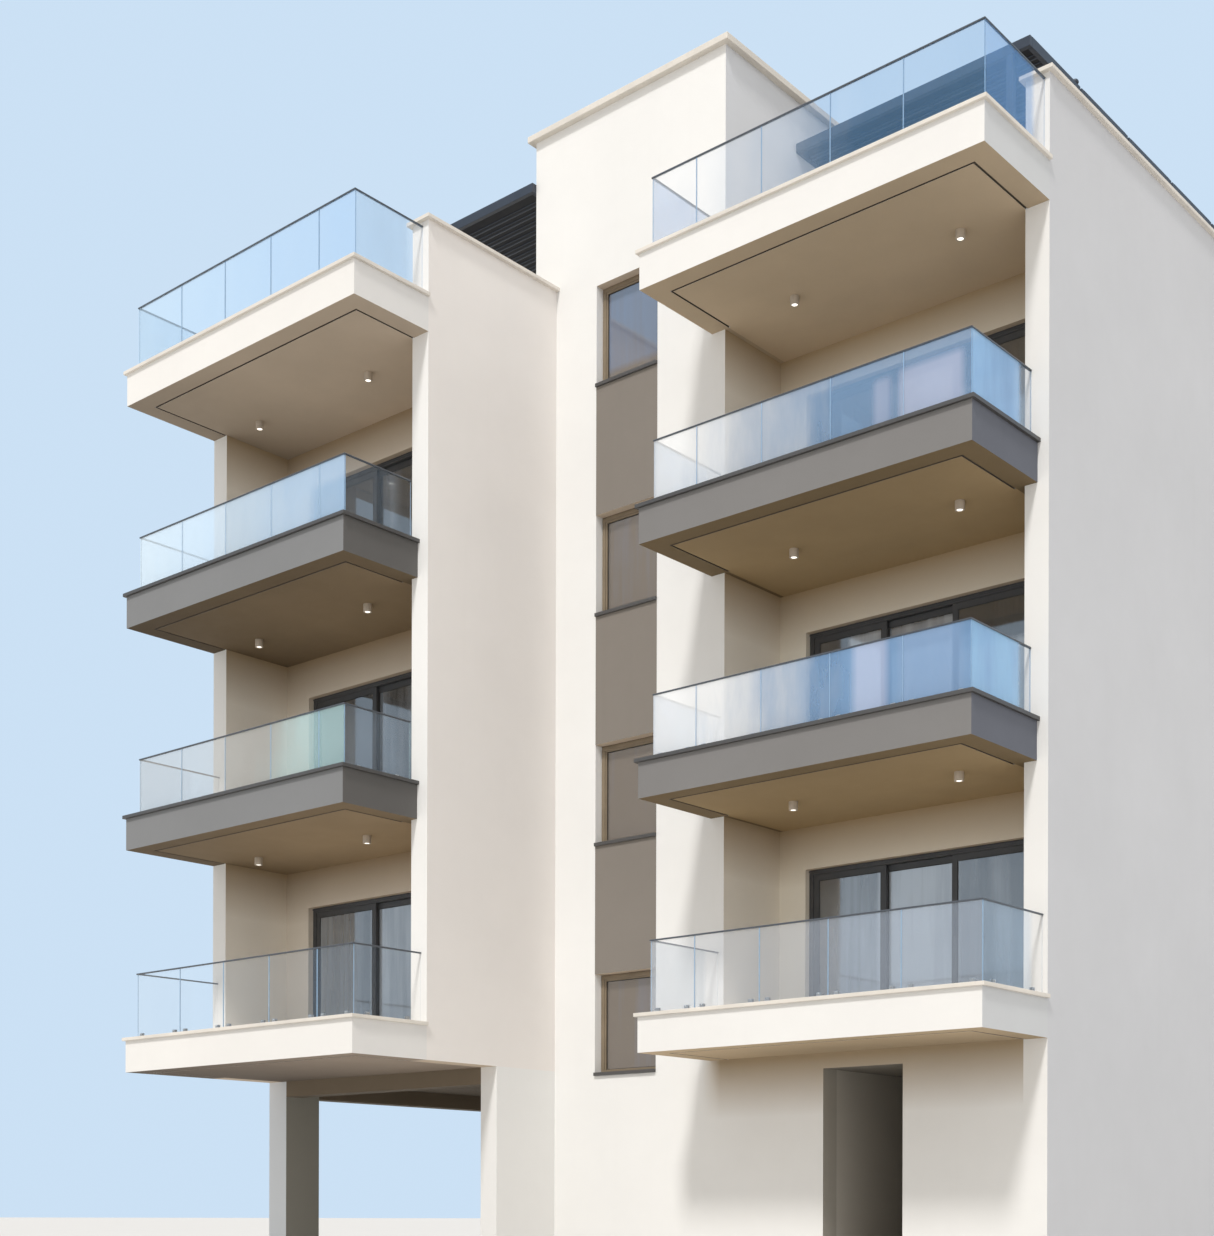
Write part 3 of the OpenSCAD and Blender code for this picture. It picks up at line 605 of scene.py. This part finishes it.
# Loggia piers and lintels in beige with painted ceiling shade, in the lit copy right of x = 0
beige = render_look("beige_render", BEIGE, SOFFIT, streaks=0.02, splash=False,
                    sides=[turned(0, LIT_RIGHT_BEIGE, (0.0, 20.0))])
# The loggia's side wall in the lit copy of the beige, painted light
lit_side_beige = render_look("side_render", LIT_SIDE_BEIGE, SOFFIT, streaks=0.02, splash=False)
panel_grey = render_look("panel_render", (0.237, 0.211, 0.184), SOFFIT, streaks=0.10, splash=False)
# Carport columns in painted shade, darkest on their faces towards +x
shaded_column = render_look("column_render", (0.74, 0.77, 0.80), SHADY,
                           sides=[turned(1, (0.36, 0.345, 0.30))])
beam_shade = render_look("beam_render", (0.193, 0.152, 0.106), SHADY, streaks=0.02, splash=False)
concrete = render_look("screed", (0.62, 0.60, 0.56), SHADY, streaks=0.02, splash=False)

# Render and paint on the balconies, with painted shade on their faces towards +x and painted
# light and shade across their soffits
left_slab_white = render_look(
    "left_slab_render", (0.82, 0.80, 0.77), (0.585, 0.48, 0.37),
    sides=[turned(1, (0.80, 0.78, 0.755))], drift=LEFT_SHADE_DRIFT,
    field=dict(x0=-5.927, x1=-1.627, y0=-6.355, border=0.84, front=0.85, back=1.10),
    low=((0.235, 0.19, 0.15), ("X", -5.6, -2.2, 0.66, 1.45)))
right_slab_white = render_look(
    "right_slab_render", (0.83, 0.815, 0.79), (0.60, 0.475, 0.33),
    sides=[turned(1, (0.62, 0.63, 0.64))],
    field=dict(x0=1.657, x1=5.908, y0=-4.105, border=0.79, front=0.80, back=1.0),
    low=((0.39, 0.30, 0.195), ("X", 2.0, 3.6, 1.2, 1.0), ("Y", -4.2, -3.4, 1.25, 1.0)))
left_slab_grey = render_look(
    "left_grey_render", (0.225, 0.228, 0.232), (0.343, 0.25, 0.15),
    streaks=0.08, splash=False, sides=[turned(1, (0.13, 0.124, 0.118))], drift=LEFT_SHADE_DRIFT,
    field=dict(x0=-5.927, x1=-1.818, y0=-6.355, border=0.56, front=0.72, back=1.04,
               lower=1.15, upper=0.80))
right_slab_grey = render_look(
    "right_grey_render", (0.215, 0.208, 0.203), (0.362, 0.26, 0.14),
    streaks=0.08, splash=False, sides=[turned(1, (0.14, 0.148, 0.175))],
    field=dict(x0=1.657, x1=5.767, y0=-4.105, border=0.52, front=0.85, back=1.15,
               lower=1.03, upper=0.98))

# Stone, metal, glass, lamps and cloth
limestone = stone_look("limestone", (0.74, 0.69, 0.62), (0.60, 0.54, 0.46), 0.62)
slate = stone_look("slate", (0.075, 0.072, 0.070), (0.13, 0.125, 0.12), 0.5)
frame_metal = metal_look("frame_metal", (0.062, 0.063, 0.066), 0.38)
window_metal = metal_look("window_metal", (0.23, 0.178, 0.118), 0.42)
rail_metal = metal_look("rail_metal", (0.075, 0.085, 0.10), 0.34)
pergola_metal = metal_look("pergola_metal", (0.030, 0.038, 0.055), 0.45)
louvre_metal = metal_look("louvre_metal", (0.009, 0.011, 0.017), 0.5)
# Lighter metal on the louvre lips, a painted highlight along the blades' lower edges
lip_highlight_metal = metal_look("lip_highlight_metal", (0.045, 0.057, 0.08), 0.4)
steel = plain_look("clamp_steel", (0.46, 0.46, 0.46), 0.32,
                   fine=160.0, depth=0.0003, spread=0.05, metallic=0.85)
# Painted reflections of the sky in the balustrade glass, storey by storey
left_balustrade = balustrade_look("left_balustrade", (
    (0.07, (0.70, 0.80, 0.88), (0.40, 0.56, 0.76), (-6.0, -1.8), 0.02, (0.50, 0.64, 0.80)),
    (0.27, (0.58, 0.59, 0.58), (0.66, 0.96, 1.00), (-3.5, -2.4), 0.08, (0.60, 0.75, 0.92)),
    (0.42, (0.80, 0.92, 1.00), (0.52, 0.74, 1.00), (-6.0, -1.8), 0.05, (0.60, 0.75, 0.92)),
    (0.22, (0.62, 0.82, 1.00), (0.34, 0.58, 0.90), (-6.0, -1.8), 0.24, (0.40, 0.62, 0.88)),
), (-5.66, -5.54))
right_balustrade = balustrade_look("right_balustrade", (
    (0.18, (0.80, 0.84, 0.90), (0.56, 0.64, 0.76), (1.9, 4.4), 0.20, (0.50, 0.66, 0.84)),
    (0.44, (0.98, 0.99, 1.00), (0.235, 0.42, 0.69), (2.4, 4.1), 0.54, (0.37, 0.64, 1.00)),
    (0.41, (0.98, 0.99, 1.00), (0.24, 0.40, 0.63), (1.9, 4.2), 0.54, (0.37, 0.62, 0.97)),
    (0.17, (0.90, 0.94, 1.00), (0.14, 0.34, 0.62), (1.9, 4.4), 0.30, (0.15, 0.38, 0.76)),
), (-3.22, -3.12), [
    (0.75, ("X", 4.46, 4.90), ("Z", 6.5, 7.6)), (0.15, ("X", 5.06, 5.85), ("Z", 6.5, 7.6)),
    (0.85, ("X", 5.05, 5.85), ("Z", 9.6, 10.30)), (0.6, ("X", 4.72, 4.94), ("Z", 9.6, 10.27)),
])
# Painted reflections in the door panes, zone by zone, over a dim room in painted shade
door_pane = pane_look("door_pane", (0.105, 0.115, 0.125), (0.72, 0.80, 0.90), 0.68, 3.0, [
    (-0.6, ("Z", 6.5, 13.0)), (0.42, ("X", -4.1, -2.5)),
    (0.75, ("X", 3.1, 4.25), ("Z", 3.0, 6.0)), (1.4, ("X", 2.62, 3.1), ("Z", 6.5, 8.5)),
    (0.95, ("X", 3.1, 4.25), ("Z", 6.5, 8.5)), (0.95, ("X", 4.25, 5.4), ("Z", 6.5, 8.0)),
    (0.75, ("X", 3.1, 4.25), ("Z", 9.7, 11.8)), (1.1, ("X", 4.25, 5.4), ("Z", 9.7, 11.3)),
])
# Painted reflection of the sky on the stair's top window, less on the lower ones, over a dim room
# in painted shade
stair_pane = pane_look("window_pane", (0.154, 0.127, 0.102), (0.15, 0.19, 0.28), 0.9, 2.4,
                       [(0.5, ("Z", 12.5, 15.0)), (-0.3, ("Z", 0.0, 12.5))])
# Lamp enamel darkened to a beige brown, the painted shade of the soffits round it
shaded_lamp_enamel = plain_look("lamp_enamel", (0.50, 0.43, 0.35), 0.4, fine=300.0, depth=0.0002)
# Painted shade in the drip grooves
groove_shade = plain_look("groove_shade_paint", (0.085, 0.068, 0.052), 0.75)
rubber = plain_look("gasket_rubber", (0.02, 0.02, 0.021), 0.6)
seal = plain_look("glass_seal", (0.30, 0.44, 0.60), 0.35)
lens = lens_look("lamp_lens")
curtain_pale = cloth_look("curtain_pale", (0.84, 0.82, 0.80))
curtain_brown = cloth_look("curtain_brown", (0.42, 0.34, 0.27))

# The nodes' looks; those that aren't named here are white
LOOKS = {
    "ground_slab": concrete, "left_floors": concrete, "right_floors": concrete,
    "stair_landings": concrete, "tower_roof": concrete,
    "left_side_piers": left_end, "left_wing_wall": wing_white, "right_wing_wall": right_white,
    "loggia_piers": beige, "door_lintels": beige, "entrance_passage": passage,
    "loggia_side_wall": lit_side_beige, "tower_front_piers": tower_white,
    "tower_side_walls": tower_side, "entrance_wall": entrance_white,
    "carport_columns": shaded_column, "carport_beams": beam_shade,
    "left_white_balconies": left_slab_white, "right_white_balconies": right_slab_white,
    "left_grey_balconies": left_slab_grey, "right_grey_balconies": right_slab_grey,
    "stair_panels": panel_grey,
    "pale_copings": limestone, "dark_copings": slate, "window_sills": slate,
    "left_balustrade_glass": left_balustrade, "right_balustrade_glass": right_balustrade,
    "sliding_door_glass": door_pane, "window_glass": stair_pane,
    "handrails": rail_metal, "glass_clamps": steel,
    "sliding_door_frames": frame_metal, "sliding_door_sashes": frame_metal,
    "window_frames": window_metal,
    "pergola_posts": pergola_metal, "pergola_beams": pergola_metal,
    "pergola_rails": pergola_metal, "pergola_louvres": louvre_metal,
    "downlights": shaded_lamp_enamel,
}

# Softened edges, where a part ends free of its neighbours
EDGES = {
    "pale_copings": 0.006, "dark_copings": 0.004, "window_sills": 0.003, "handrails": 0.006,
    "glass_clamps": 0.004, "sliding_door_frames": 0.003, "sliding_door_sashes": 0.004,
    "window_frames": 0.004, "pergola_posts": 0.006, "pergola_beams": 0.006,
    "pergola_rails": 0.006, "pergola_louvres": 0.004, "downlights": 0.004,
}


def dress_nodes():
    """Gives each node its look, and softens the edges of those in EDGES."""
    for name, obj in NODES.items():
        obj.data.materials.clear()
        obj.data.materials.append(LOOKS.get(name, white))
        if name in EDGES:
            weld = obj.modifiers.new("weld", "WELD")
            weld.merge_threshold = 0.0002
            edge = obj.modifiers.new("edge", "BEVEL")
            edge.width = EDGES[name]
            edge.segments = 2
            edge.limit_method = "ANGLE"
            edge.angle_limit = math.radians(50.0)


# Solids of a node, so that small parts sit on the real ones

def islands(node):
    """Boxes (lowest, highest corner) of a node's separate solids, in order."""
    mesh = NODES[node].data
    index, ids = {}, []
    for v in mesh.vertices:
        ids.append(index.setdefault(tuple(round(c, 4) for c in v.co), len(index)))
    up = list(range(len(index)))

    def top(a):
        while up[a] != a:
            up[a] = up[up[a]]
            a = up[a]
        return a

    for p in mesh.polygons:
        first = top(ids[p.vertices[0]])
        for i in p.vertices[1:]:
            up[top(ids[i])] = first
    groups = {}
    for co, i in index.items():
        groups.setdefault(top(i), []).append(co)
    boxes = []
    for cos in groups.values():
        lo = tuple(min(c[k] for c in cos) for k in range(3))
        hi = tuple(max(c[k] for c in cos) for k in range(3))
        boxes.append((lo, hi))
    return sorted(boxes)


def wide_axis(lo, hi):
    """0 where a pane runs along x, 1 where it runs along y."""
    return 0 if hi[0] - lo[0] > hi[1] - lo[1] else 1


# Mesh helpers

def add_bar(bm, lo, hi, edge=0.0):
    """A box between two corners with its edges softened."""
    made = bmesh.ops.create_cube(bm, size=1.0)["verts"]
    for v in made:
        v.co = Vector([lo[k] + (v.co[k] + 0.5) * (hi[k] - lo[k]) for k in range(3)])
    if edge:
        lines = list(dict.fromkeys(e for v in made for e in v.link_edges))
        bmesh.ops.bevel(bm, geom=lines, offset=edge, segments=2, affect="EDGES", profile=0.5)


def add_plate(bm, a, us, zs, ds, edge):
    """A box from us[0] to us[1] along axis a (x or y), zs upwards and ds along the other axis."""
    lo, hi = [0, 0, zs[0]], [0, 0, zs[1]]
    lo[a], hi[a] = us
    lo[1 - a], hi[1 - a] = sorted(ds)
    add_bar(bm, lo, hi, edge)


def add_ring(bm, a, us, zs, ds, width, edge):
    """Four bars of a width, as plates round the inside of a rectangle."""
    (u0, u1), (z0, z1) = us, zs
    for bar in (
        (u0, u1, z0, z0 + width),
        (u0, u1, z1 - width, z1),
        (u0, u0 + width, z0 + width, z1 - width),
        (u1 - width, u1, z0 + width, z1 - width),
    ):
        add_plate(bm, a, bar[:2], bar[2:], ds, edge)


def add_turned(bm, middle, profile, steps, axis=(0, 0, 1)):
    """A turned part about an axis, from (radius, height) points; radius 0 closes an end."""
    turn = Vector((0, 0, 1)).rotation_difference(Vector(axis))
    rings = []
    for r, h in profile:
        if r == 0:
            rings.append([bm.verts.new(Vector(middle) + turn @ Vector((0, 0, h)))])
            continue
        ring = []
        for s in range(steps):
            a = 2 * math.pi * s / steps
            spot = Vector((r * math.cos(a), r * math.sin(a), h))
            ring.append(bm.verts.new(Vector(middle) + turn @ spot))
        rings.append(ring)
    for one, two in zip(rings, rings[1:]):
        for s in range(steps):
            t = (s + 1) % steps
            corners = [one[s % len(one)], one[t % len(one)], two[t % len(two)], two[s % len(two)]]
            face = []
            for v in corners:
                if v not in face:
                    face.append(v)
            if len(face) > 2:
                bm.faces.new(face)


def add_piece(name, bm, look, smooth=False):
    """Turns a finished bmesh into a piece of the fixed body."""
    bmesh.ops.recalc_face_normals(bm, faces=bm.faces)
    mesh = bpy.data.meshes.new(name)
    bm.to_mesh(mesh)
    bm.free()
    mesh.materials.append(look)
    if smooth:
        mesh.shade_smooth()
    obj = bpy.data.objects.new(name, mesh)
    bpy.context.scene.collection.objects.link(obj)
    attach(obj, "root")
    return obj


# Small visible parts

def add_gaskets(name, node):
    """Rubber strips round each pane, on both of its faces."""
    width, proud = 0.009, 0.004
    bm = bmesh.new()
    for lo, hi in islands(node):
        a = wide_axis(lo, hi)
        b = 1 - a
        for face, way in ((lo[b], -1), (hi[b], 1)):
            add_ring(bm, a, (lo[a], hi[a]), (lo[2], hi[2]), (face, face + way * proud), width,
                     0.001)
    add_piece(name, bm, rubber)


def add_handles():
    """An upright pull handle on each sliding sash, on the stile where it closes."""
    post = [(0.0, 0.0), (0.006, 0.0), (0.006, 0.02), (0.0, 0.02)]
    bm = bmesh.new()
    for lo, _ in islands("sliding_door_sashes"):
        x = lo[0] + 0.04
        y = lo[1]
        z = lo[2] + 0.95
        for h in (0.03, 0.25):
            add_turned(bm, (x, y, z + h), post, 12, (0, -1, 0))
        add_bar(bm, (x - 0.011, y - 0.030, z), (x + 0.011, y - 0.018, z + 0.28), 0.004)
    add_piece("door_handles", bm, frame_metal)


def add_tracks():
    """Two raised runners on the bottom of each sliding door's frame, and a weather bar."""
    frame_bar, runner_top, half = 0.065, 0.071, 0.003
    bm = bmesh.new()
    for lo, hi in islands("sliding_door_frames"):
        for y in (lo[1] + 0.0325, lo[1] + 0.0875):
            add_bar(bm, (lo[0] + frame_bar, y - half, lo[2] + frame_bar),
                    (hi[0] - frame_bar, y + half, lo[2] + runner_top), 0.001)
        add_bar(bm, (lo[0], lo[1] - 0.012, hi[2] - 0.03), (hi[0], lo[1], hi[2] - 0.012), 0.002)
    add_piece("door_runners", bm, frame_metal)


def add_inner_sashes():
    """Narrow opening sashes inside the window frames, with a lever handle on the room side."""
    width, proud, handle = 0.045, 0.010, 0.035
    sashes, grips = bmesh.new(), bmesh.new()
    for lo, hi in islands("window_frames"):
        a = wide_axis(lo, hi)
        b = 1 - a
        # Front windows look to -y, side windows to -x and rear windows to +y
        out = -1 if (a == 0 and lo[1] < 0) or a == 1 else 1
        outer, inner = (lo[b], hi[b]) if out < 0 else (hi[b], lo[b])
        u0, u1 = lo[a] + 0.02, hi[a] - 0.02
        z0, z1 = lo[2] + 0.045, hi[2] - 0.02
        add_ring(sashes, a, (u0, u1), (z0, z1), (outer, outer + out * proud), width, 0.002)
        middle = (z0 + z1) / 2
        add_plate(grips, a, (u0 + 0.005, u0 + 0.03), (middle - 0.07, middle + 0.07),
                  (inner, inner - out * handle), 0.004)
    add_piece("window_sashes", sashes, window_metal)
    add_piece("window_handles", grips, steel)


def add_clamp_bolts():
    """A round-headed bolt through each glass clamp, on both faces."""
    head = [(0.0, 0.008), (0.006, 0.008), (0.0105, 0.005), (0.012, 0.0), (0.0, 0.0)]
    bm = bmesh.new()
    for lo, hi in islands("glass_clamps"):
        a = wide_axis(lo, hi)
        b = 1 - a
        for face, way in ((lo[b], -1), (hi[b], 1)):
            middle, axis = [0, 0, (lo[2] + hi[2]) / 2 + 0.012], [0, 0, 0]
            middle[a], middle[b] = (lo[a] + hi[a]) / 2, face
            axis[b] = way
            add_turned(bm, middle, head, 12, axis)
    add_piece("clamp_bolts", bm, steel, True)


def add_pane_seals():
    """Clear sealing strips in the joints between neighbouring balustrade panes."""
    same, joint, corner, inset = 0.002, 0.03, 0.02, 0.002
    bm = bmesh.new()
    for node in ("left_balustrade_glass", "right_balustrade_glass"):
        panes = islands(node)
        front = [p for p in panes if wide_axis(*p) == 0]
        sides = [p for p in panes if wide_axis(*p) == 1]
        for lo, hi in front:
            for l2, _ in front:
                in_line = abs(lo[1] - l2[1]) < same and abs(lo[2] - l2[2]) < same
                if in_line and 0 < l2[0] - hi[0] < joint:
                    add_bar(bm, (hi[0], lo[1] + inset, lo[2]), (l2[0], hi[1] - inset, hi[2]))
            for l2, h2 in sides:
                behind = abs(lo[2] - l2[2]) < same and 0 < l2[1] - hi[1] < joint
                if behind and (abs(l2[0] - lo[0]) < corner or abs(h2[0] - hi[0]) < corner):
                    add_bar(bm, (l2[0] + inset, hi[1], lo[2]), (h2[0] - inset, l2[1], hi[2]))
    add_piece("pane_seals", bm, seal)


def add_lenses():
    """A trim ring and an opal lens under each downlight."""
    ring = [(0.98, 0.0), (1.0, -0.003), (0.96, -0.008), (0.70, -0.008), (0.63, -0.001),
            (0.98, 0.0)]
    disc = [(0.0, -0.006), (0.35, -0.0055), (0.56, -0.004), (0.64, -0.001), (0.0, -0.0005)]
    rings, discs = bmesh.new(), bmesh.new()
    for lo, hi in islands("downlights"):
        middle = ((lo[0] + hi[0]) / 2, (lo[1] + hi[1]) / 2, lo[2])
        r = (hi[0] - lo[0]) / 2
        for bm, profile in ((rings, ring), (discs, disc)):
            add_turned(bm, middle, [(r * k, h) for k, h in profile], 32)
    add_piece("lamp_rings", rings, shaded_lamp_enamel, True)
    add_piece("lamp_lenses", discs, lens, True)


def add_pergola_sensor():
    """The small round cap on the right pergola's outer rail, at its first joint."""
    dome = [(0.0, 0.062), (0.018, 0.060), (0.034, 0.050), (0.044, 0.034), (0.047, 0.018),
            (0.042, 0.006), (0.030, 0.0), (0.0, 0.0)]
    rails = [r for r in islands("pergola_rails") if r[0][0] > 4.0]
    lo, hi = min(rails, key=lambda r: r[0][1])
    bm = bmesh.new()
    add_turned(bm, ((lo[0] + hi[0]) / 2, hi[1] - 0.03, hi[2]), dome, 28)
    add_piece("pergola_sensor", bm, pergola_metal, True)


def add_louvre_lips():
    """A rounded lip along the lower edge of each louvre blade, lighter as a painted highlight, and
    a rib on its underside.
    """
    bm = bmesh.new()
    for lo, hi in islands("pergola_louvres"):
        x0, x1 = lo[0] + 0.002, hi[0] - 0.002
        y, z = hi[1] - 0.010, lo[2] + 0.008
        add_bar(bm, (x0, y - 0.016, z - 0.008), (x1, y + 0.008, z + 0.010), 0.006)
        add_bar(bm, (x0, y - 0.058, z + 0.012), (x1, y - 0.046, z + 0.024), 0.003)
    add_piece("louvre_lips", bm, lip_highlight_metal)


def add_groove_shade_strips():
    """Dark channels in the drip grooves under the balconies, painted shade of the grooves."""
    inset, width, skin = 0.27, 0.03, 0.003
    foot, roof, top = 0.001, 0.015, 0.020
    bm = bmesh.new()
    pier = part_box("left_side_piers")[0][1]
    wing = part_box("left_wing_wall")[0][1]
    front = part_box("tower_front_piers")[0][1]
    for node, left_end_y, right_end_y in (
        ("left_white_balconies", pier, wing), ("left_grey_balconies", pier, wing),
        ("right_white_balconies", front, front), ("right_grey_balconies", front, front),
    ):
        for lo, hi in islands(node):
            x0, x1, y0, z = lo[0] + inset, hi[0] - inset, lo[1] + inset, lo[2]
            for (u0, v0), (u1, v1) in (
                ((x0, y0), (x1, y0 + width)),
                ((x0, y0 + width), (x0 + width, left_end_y)),
                ((x1 - width, y0 + width), (x1, right_end_y)),
            ):
                add_bar(bm, (u0, v0, z + roof), (u1, v1, z + top))
                if u1 - u0 > v1 - v0:
                    walls = [((u0, v0), (u1, v0 + skin)), ((u0, v1 - skin), (u1, v1))]
                else:
                    walls = [((u0, v0), (u0 + skin, v1)), ((u1 - skin, v0), (u1, v1))]
                for (a0, b0), (a1, b1) in walls:
                    add_bar(bm, (a0, b0, z + foot), (a1, b1, z + roof))
    add_piece("groove_shade_strips", bm, groove_shade)


# Curtains behind the sliding doors

PLEAT = 0.115
PLEAT_DEPTH = 0.034

# The drawn curtains of each door, as (cloth, start, end) with shares of the door's width; the
# doors go up the left wing and then up the right one
DRAWN = [
    [("pale", 0.24, 0.48), ("pale", 0.52, 0.98)],
    [("pale", 0.50, 0.98)],
    [("brown", 0.03, 0.20), ("brown", 0.80, 0.97)],
    [("pale", 0.14, 0.34), ("pale", 0.38, 0.90)],
    [("pale", 0.13, 0.33), ("brown", 0.76, 0.97)],
    [("brown", 0.04, 0.16), ("brown", 0.78, 0.97)],
]


def curtain(name, x0, x1, y, z0, z1, look, seed):
    """A hung sheet with regular pleats that open towards the hem."""
    n = max(int((x1 - x0) / PLEAT), 2)
    cols, rows = n * 12, 14
    bm = bmesh.new()
    grid = []
    for j in range(rows + 1):
        t = j / rows
        swell = PLEAT_DEPTH * (0.55 + 0.45 * (1 - t))
        row = []
        for i in range(cols + 1):
            u = i / cols
            phase = 2 * math.pi * n * u
            lean = 0.35 * math.sin(phase * 0.5 + seed) + 0.2 * math.sin(3.1 * u + 5 * t + seed)
            dy = swell * (math.sin(phase) + 0.25 * math.sin(2 * phase + seed + lean))
            dx = 0.18 * PLEAT * math.sin(phase + 1.2) * (1 - t)
            row.append(bm.verts.new((x0 + (x1 - x0) * u + dx, y + dy, z0 + (z1 - z0) * t)))
        grid.append(row)
    for j in range(rows):
        for i in range(cols):
            bm.faces.new((grid[j][i], grid[j][i + 1], grid[j + 1][i + 1], grid[j + 1][i]))
    obj = add_piece(name, bm, look, True)


def add_curtains():
    """Slim tracks on the wall inside each sliding door, with the curtains that hang there."""
    cloths = {"pale": curtain_pale, "brown": curtain_brown}
    doors = sorted(islands("sliding_door_frames"), key=lambda d: (d[0][0] > 0, d[0][2]))
    tracks = bmesh.new()
    sheets = []
    for k, ((lo, hi), drawn) in enumerate(zip(doors, DRAWN)):
        wall = hi[1] + 0.09
        y = wall + 0.09
        z = hi[2] + 0.06
        add_bar(tracks, (lo[0] - 0.05, y - 0.016, z), (hi[0] + 0.05, y + 0.016, z + 0.028), 0.003)
        for x in (lo[0] + 0.1, (lo[0] + hi[0]) / 2, hi[0] - 0.1):
            add_bar(tracks, (x - 0.012, wall, z + 0.006), (x + 0.012, y, z + 0.022), 0.002)
        for cloth, a, b in drawn:
            w = hi[0] - lo[0]
            sheets.append((k, cloth, lo[0] + a * w, lo[0] + b * w, y, lo[2] + 0.02, z))
    add_piece("curtain_tracks", tracks, shaded_lamp_enamel)
    for n, (k, cloth, *place) in enumerate(sheets):
        side = "left" if k < 3 else "right"
        curtain("curtain_%s_%d_%d" % (side, k % 3 + 1, n), *place, cloths[cloth], 0.7 * n)


# Floor

def add_floor():
    """A wide pale floor, for the picture only."""
    m = Look("floor")
    speck = m.spread(m.noise(0.8, 3.0, 0.5), 0.3, 0.7, 0.0, 1.0)
    m.set("Base Color", m.blend(speck, (0.64, 0.63, 0.615), (0.67, 0.66, 0.645)))
    m.set("Roughness", 0.9)
    m.set("Specular IOR Level", 0.1)
    bm = bmesh.new()
    r = 900.0
    for x, y in ((-r, -r), (r, -r), (r, r), (-r, r)):
        bm.verts.new((x, y, 0.0))
    bm.faces.new(bm.verts)
    mesh = bpy.data.meshes.new("floor")
    bm.to_mesh(mesh)
    bm.free()
    mesh.materials.append(m.mat)
    floor = bpy.data.objects.new("floor", mesh)
    bpy.context.scene.collection.objects.link(floor)


add_camera()
add_world()
add_sun("key", azimuth=17.0, elevation=52.0, energy=2.12, angle=8.0, colour=(1.0, 0.985, 0.965))
add_sun("fill", azimuth=80.0, elevation=15.0, energy=0.3, angle=60.0, colour=(0.90, 0.95, 1.0))
dress_nodes()
add_gaskets("door_gaskets", "sliding_door_glass")
add_gaskets("window_gaskets", "window_glass")
add_handles()
add_tracks()
add_inner_sashes()
add_clamp_bolts()
add_pane_seals()
add_lenses()
add_pergola_sensor()
add_louvre_lips()
add_groove_shade_strips()
add_curtains()
add_floor()

bpy.context.scene.view_settings.view_transform = "Standard"
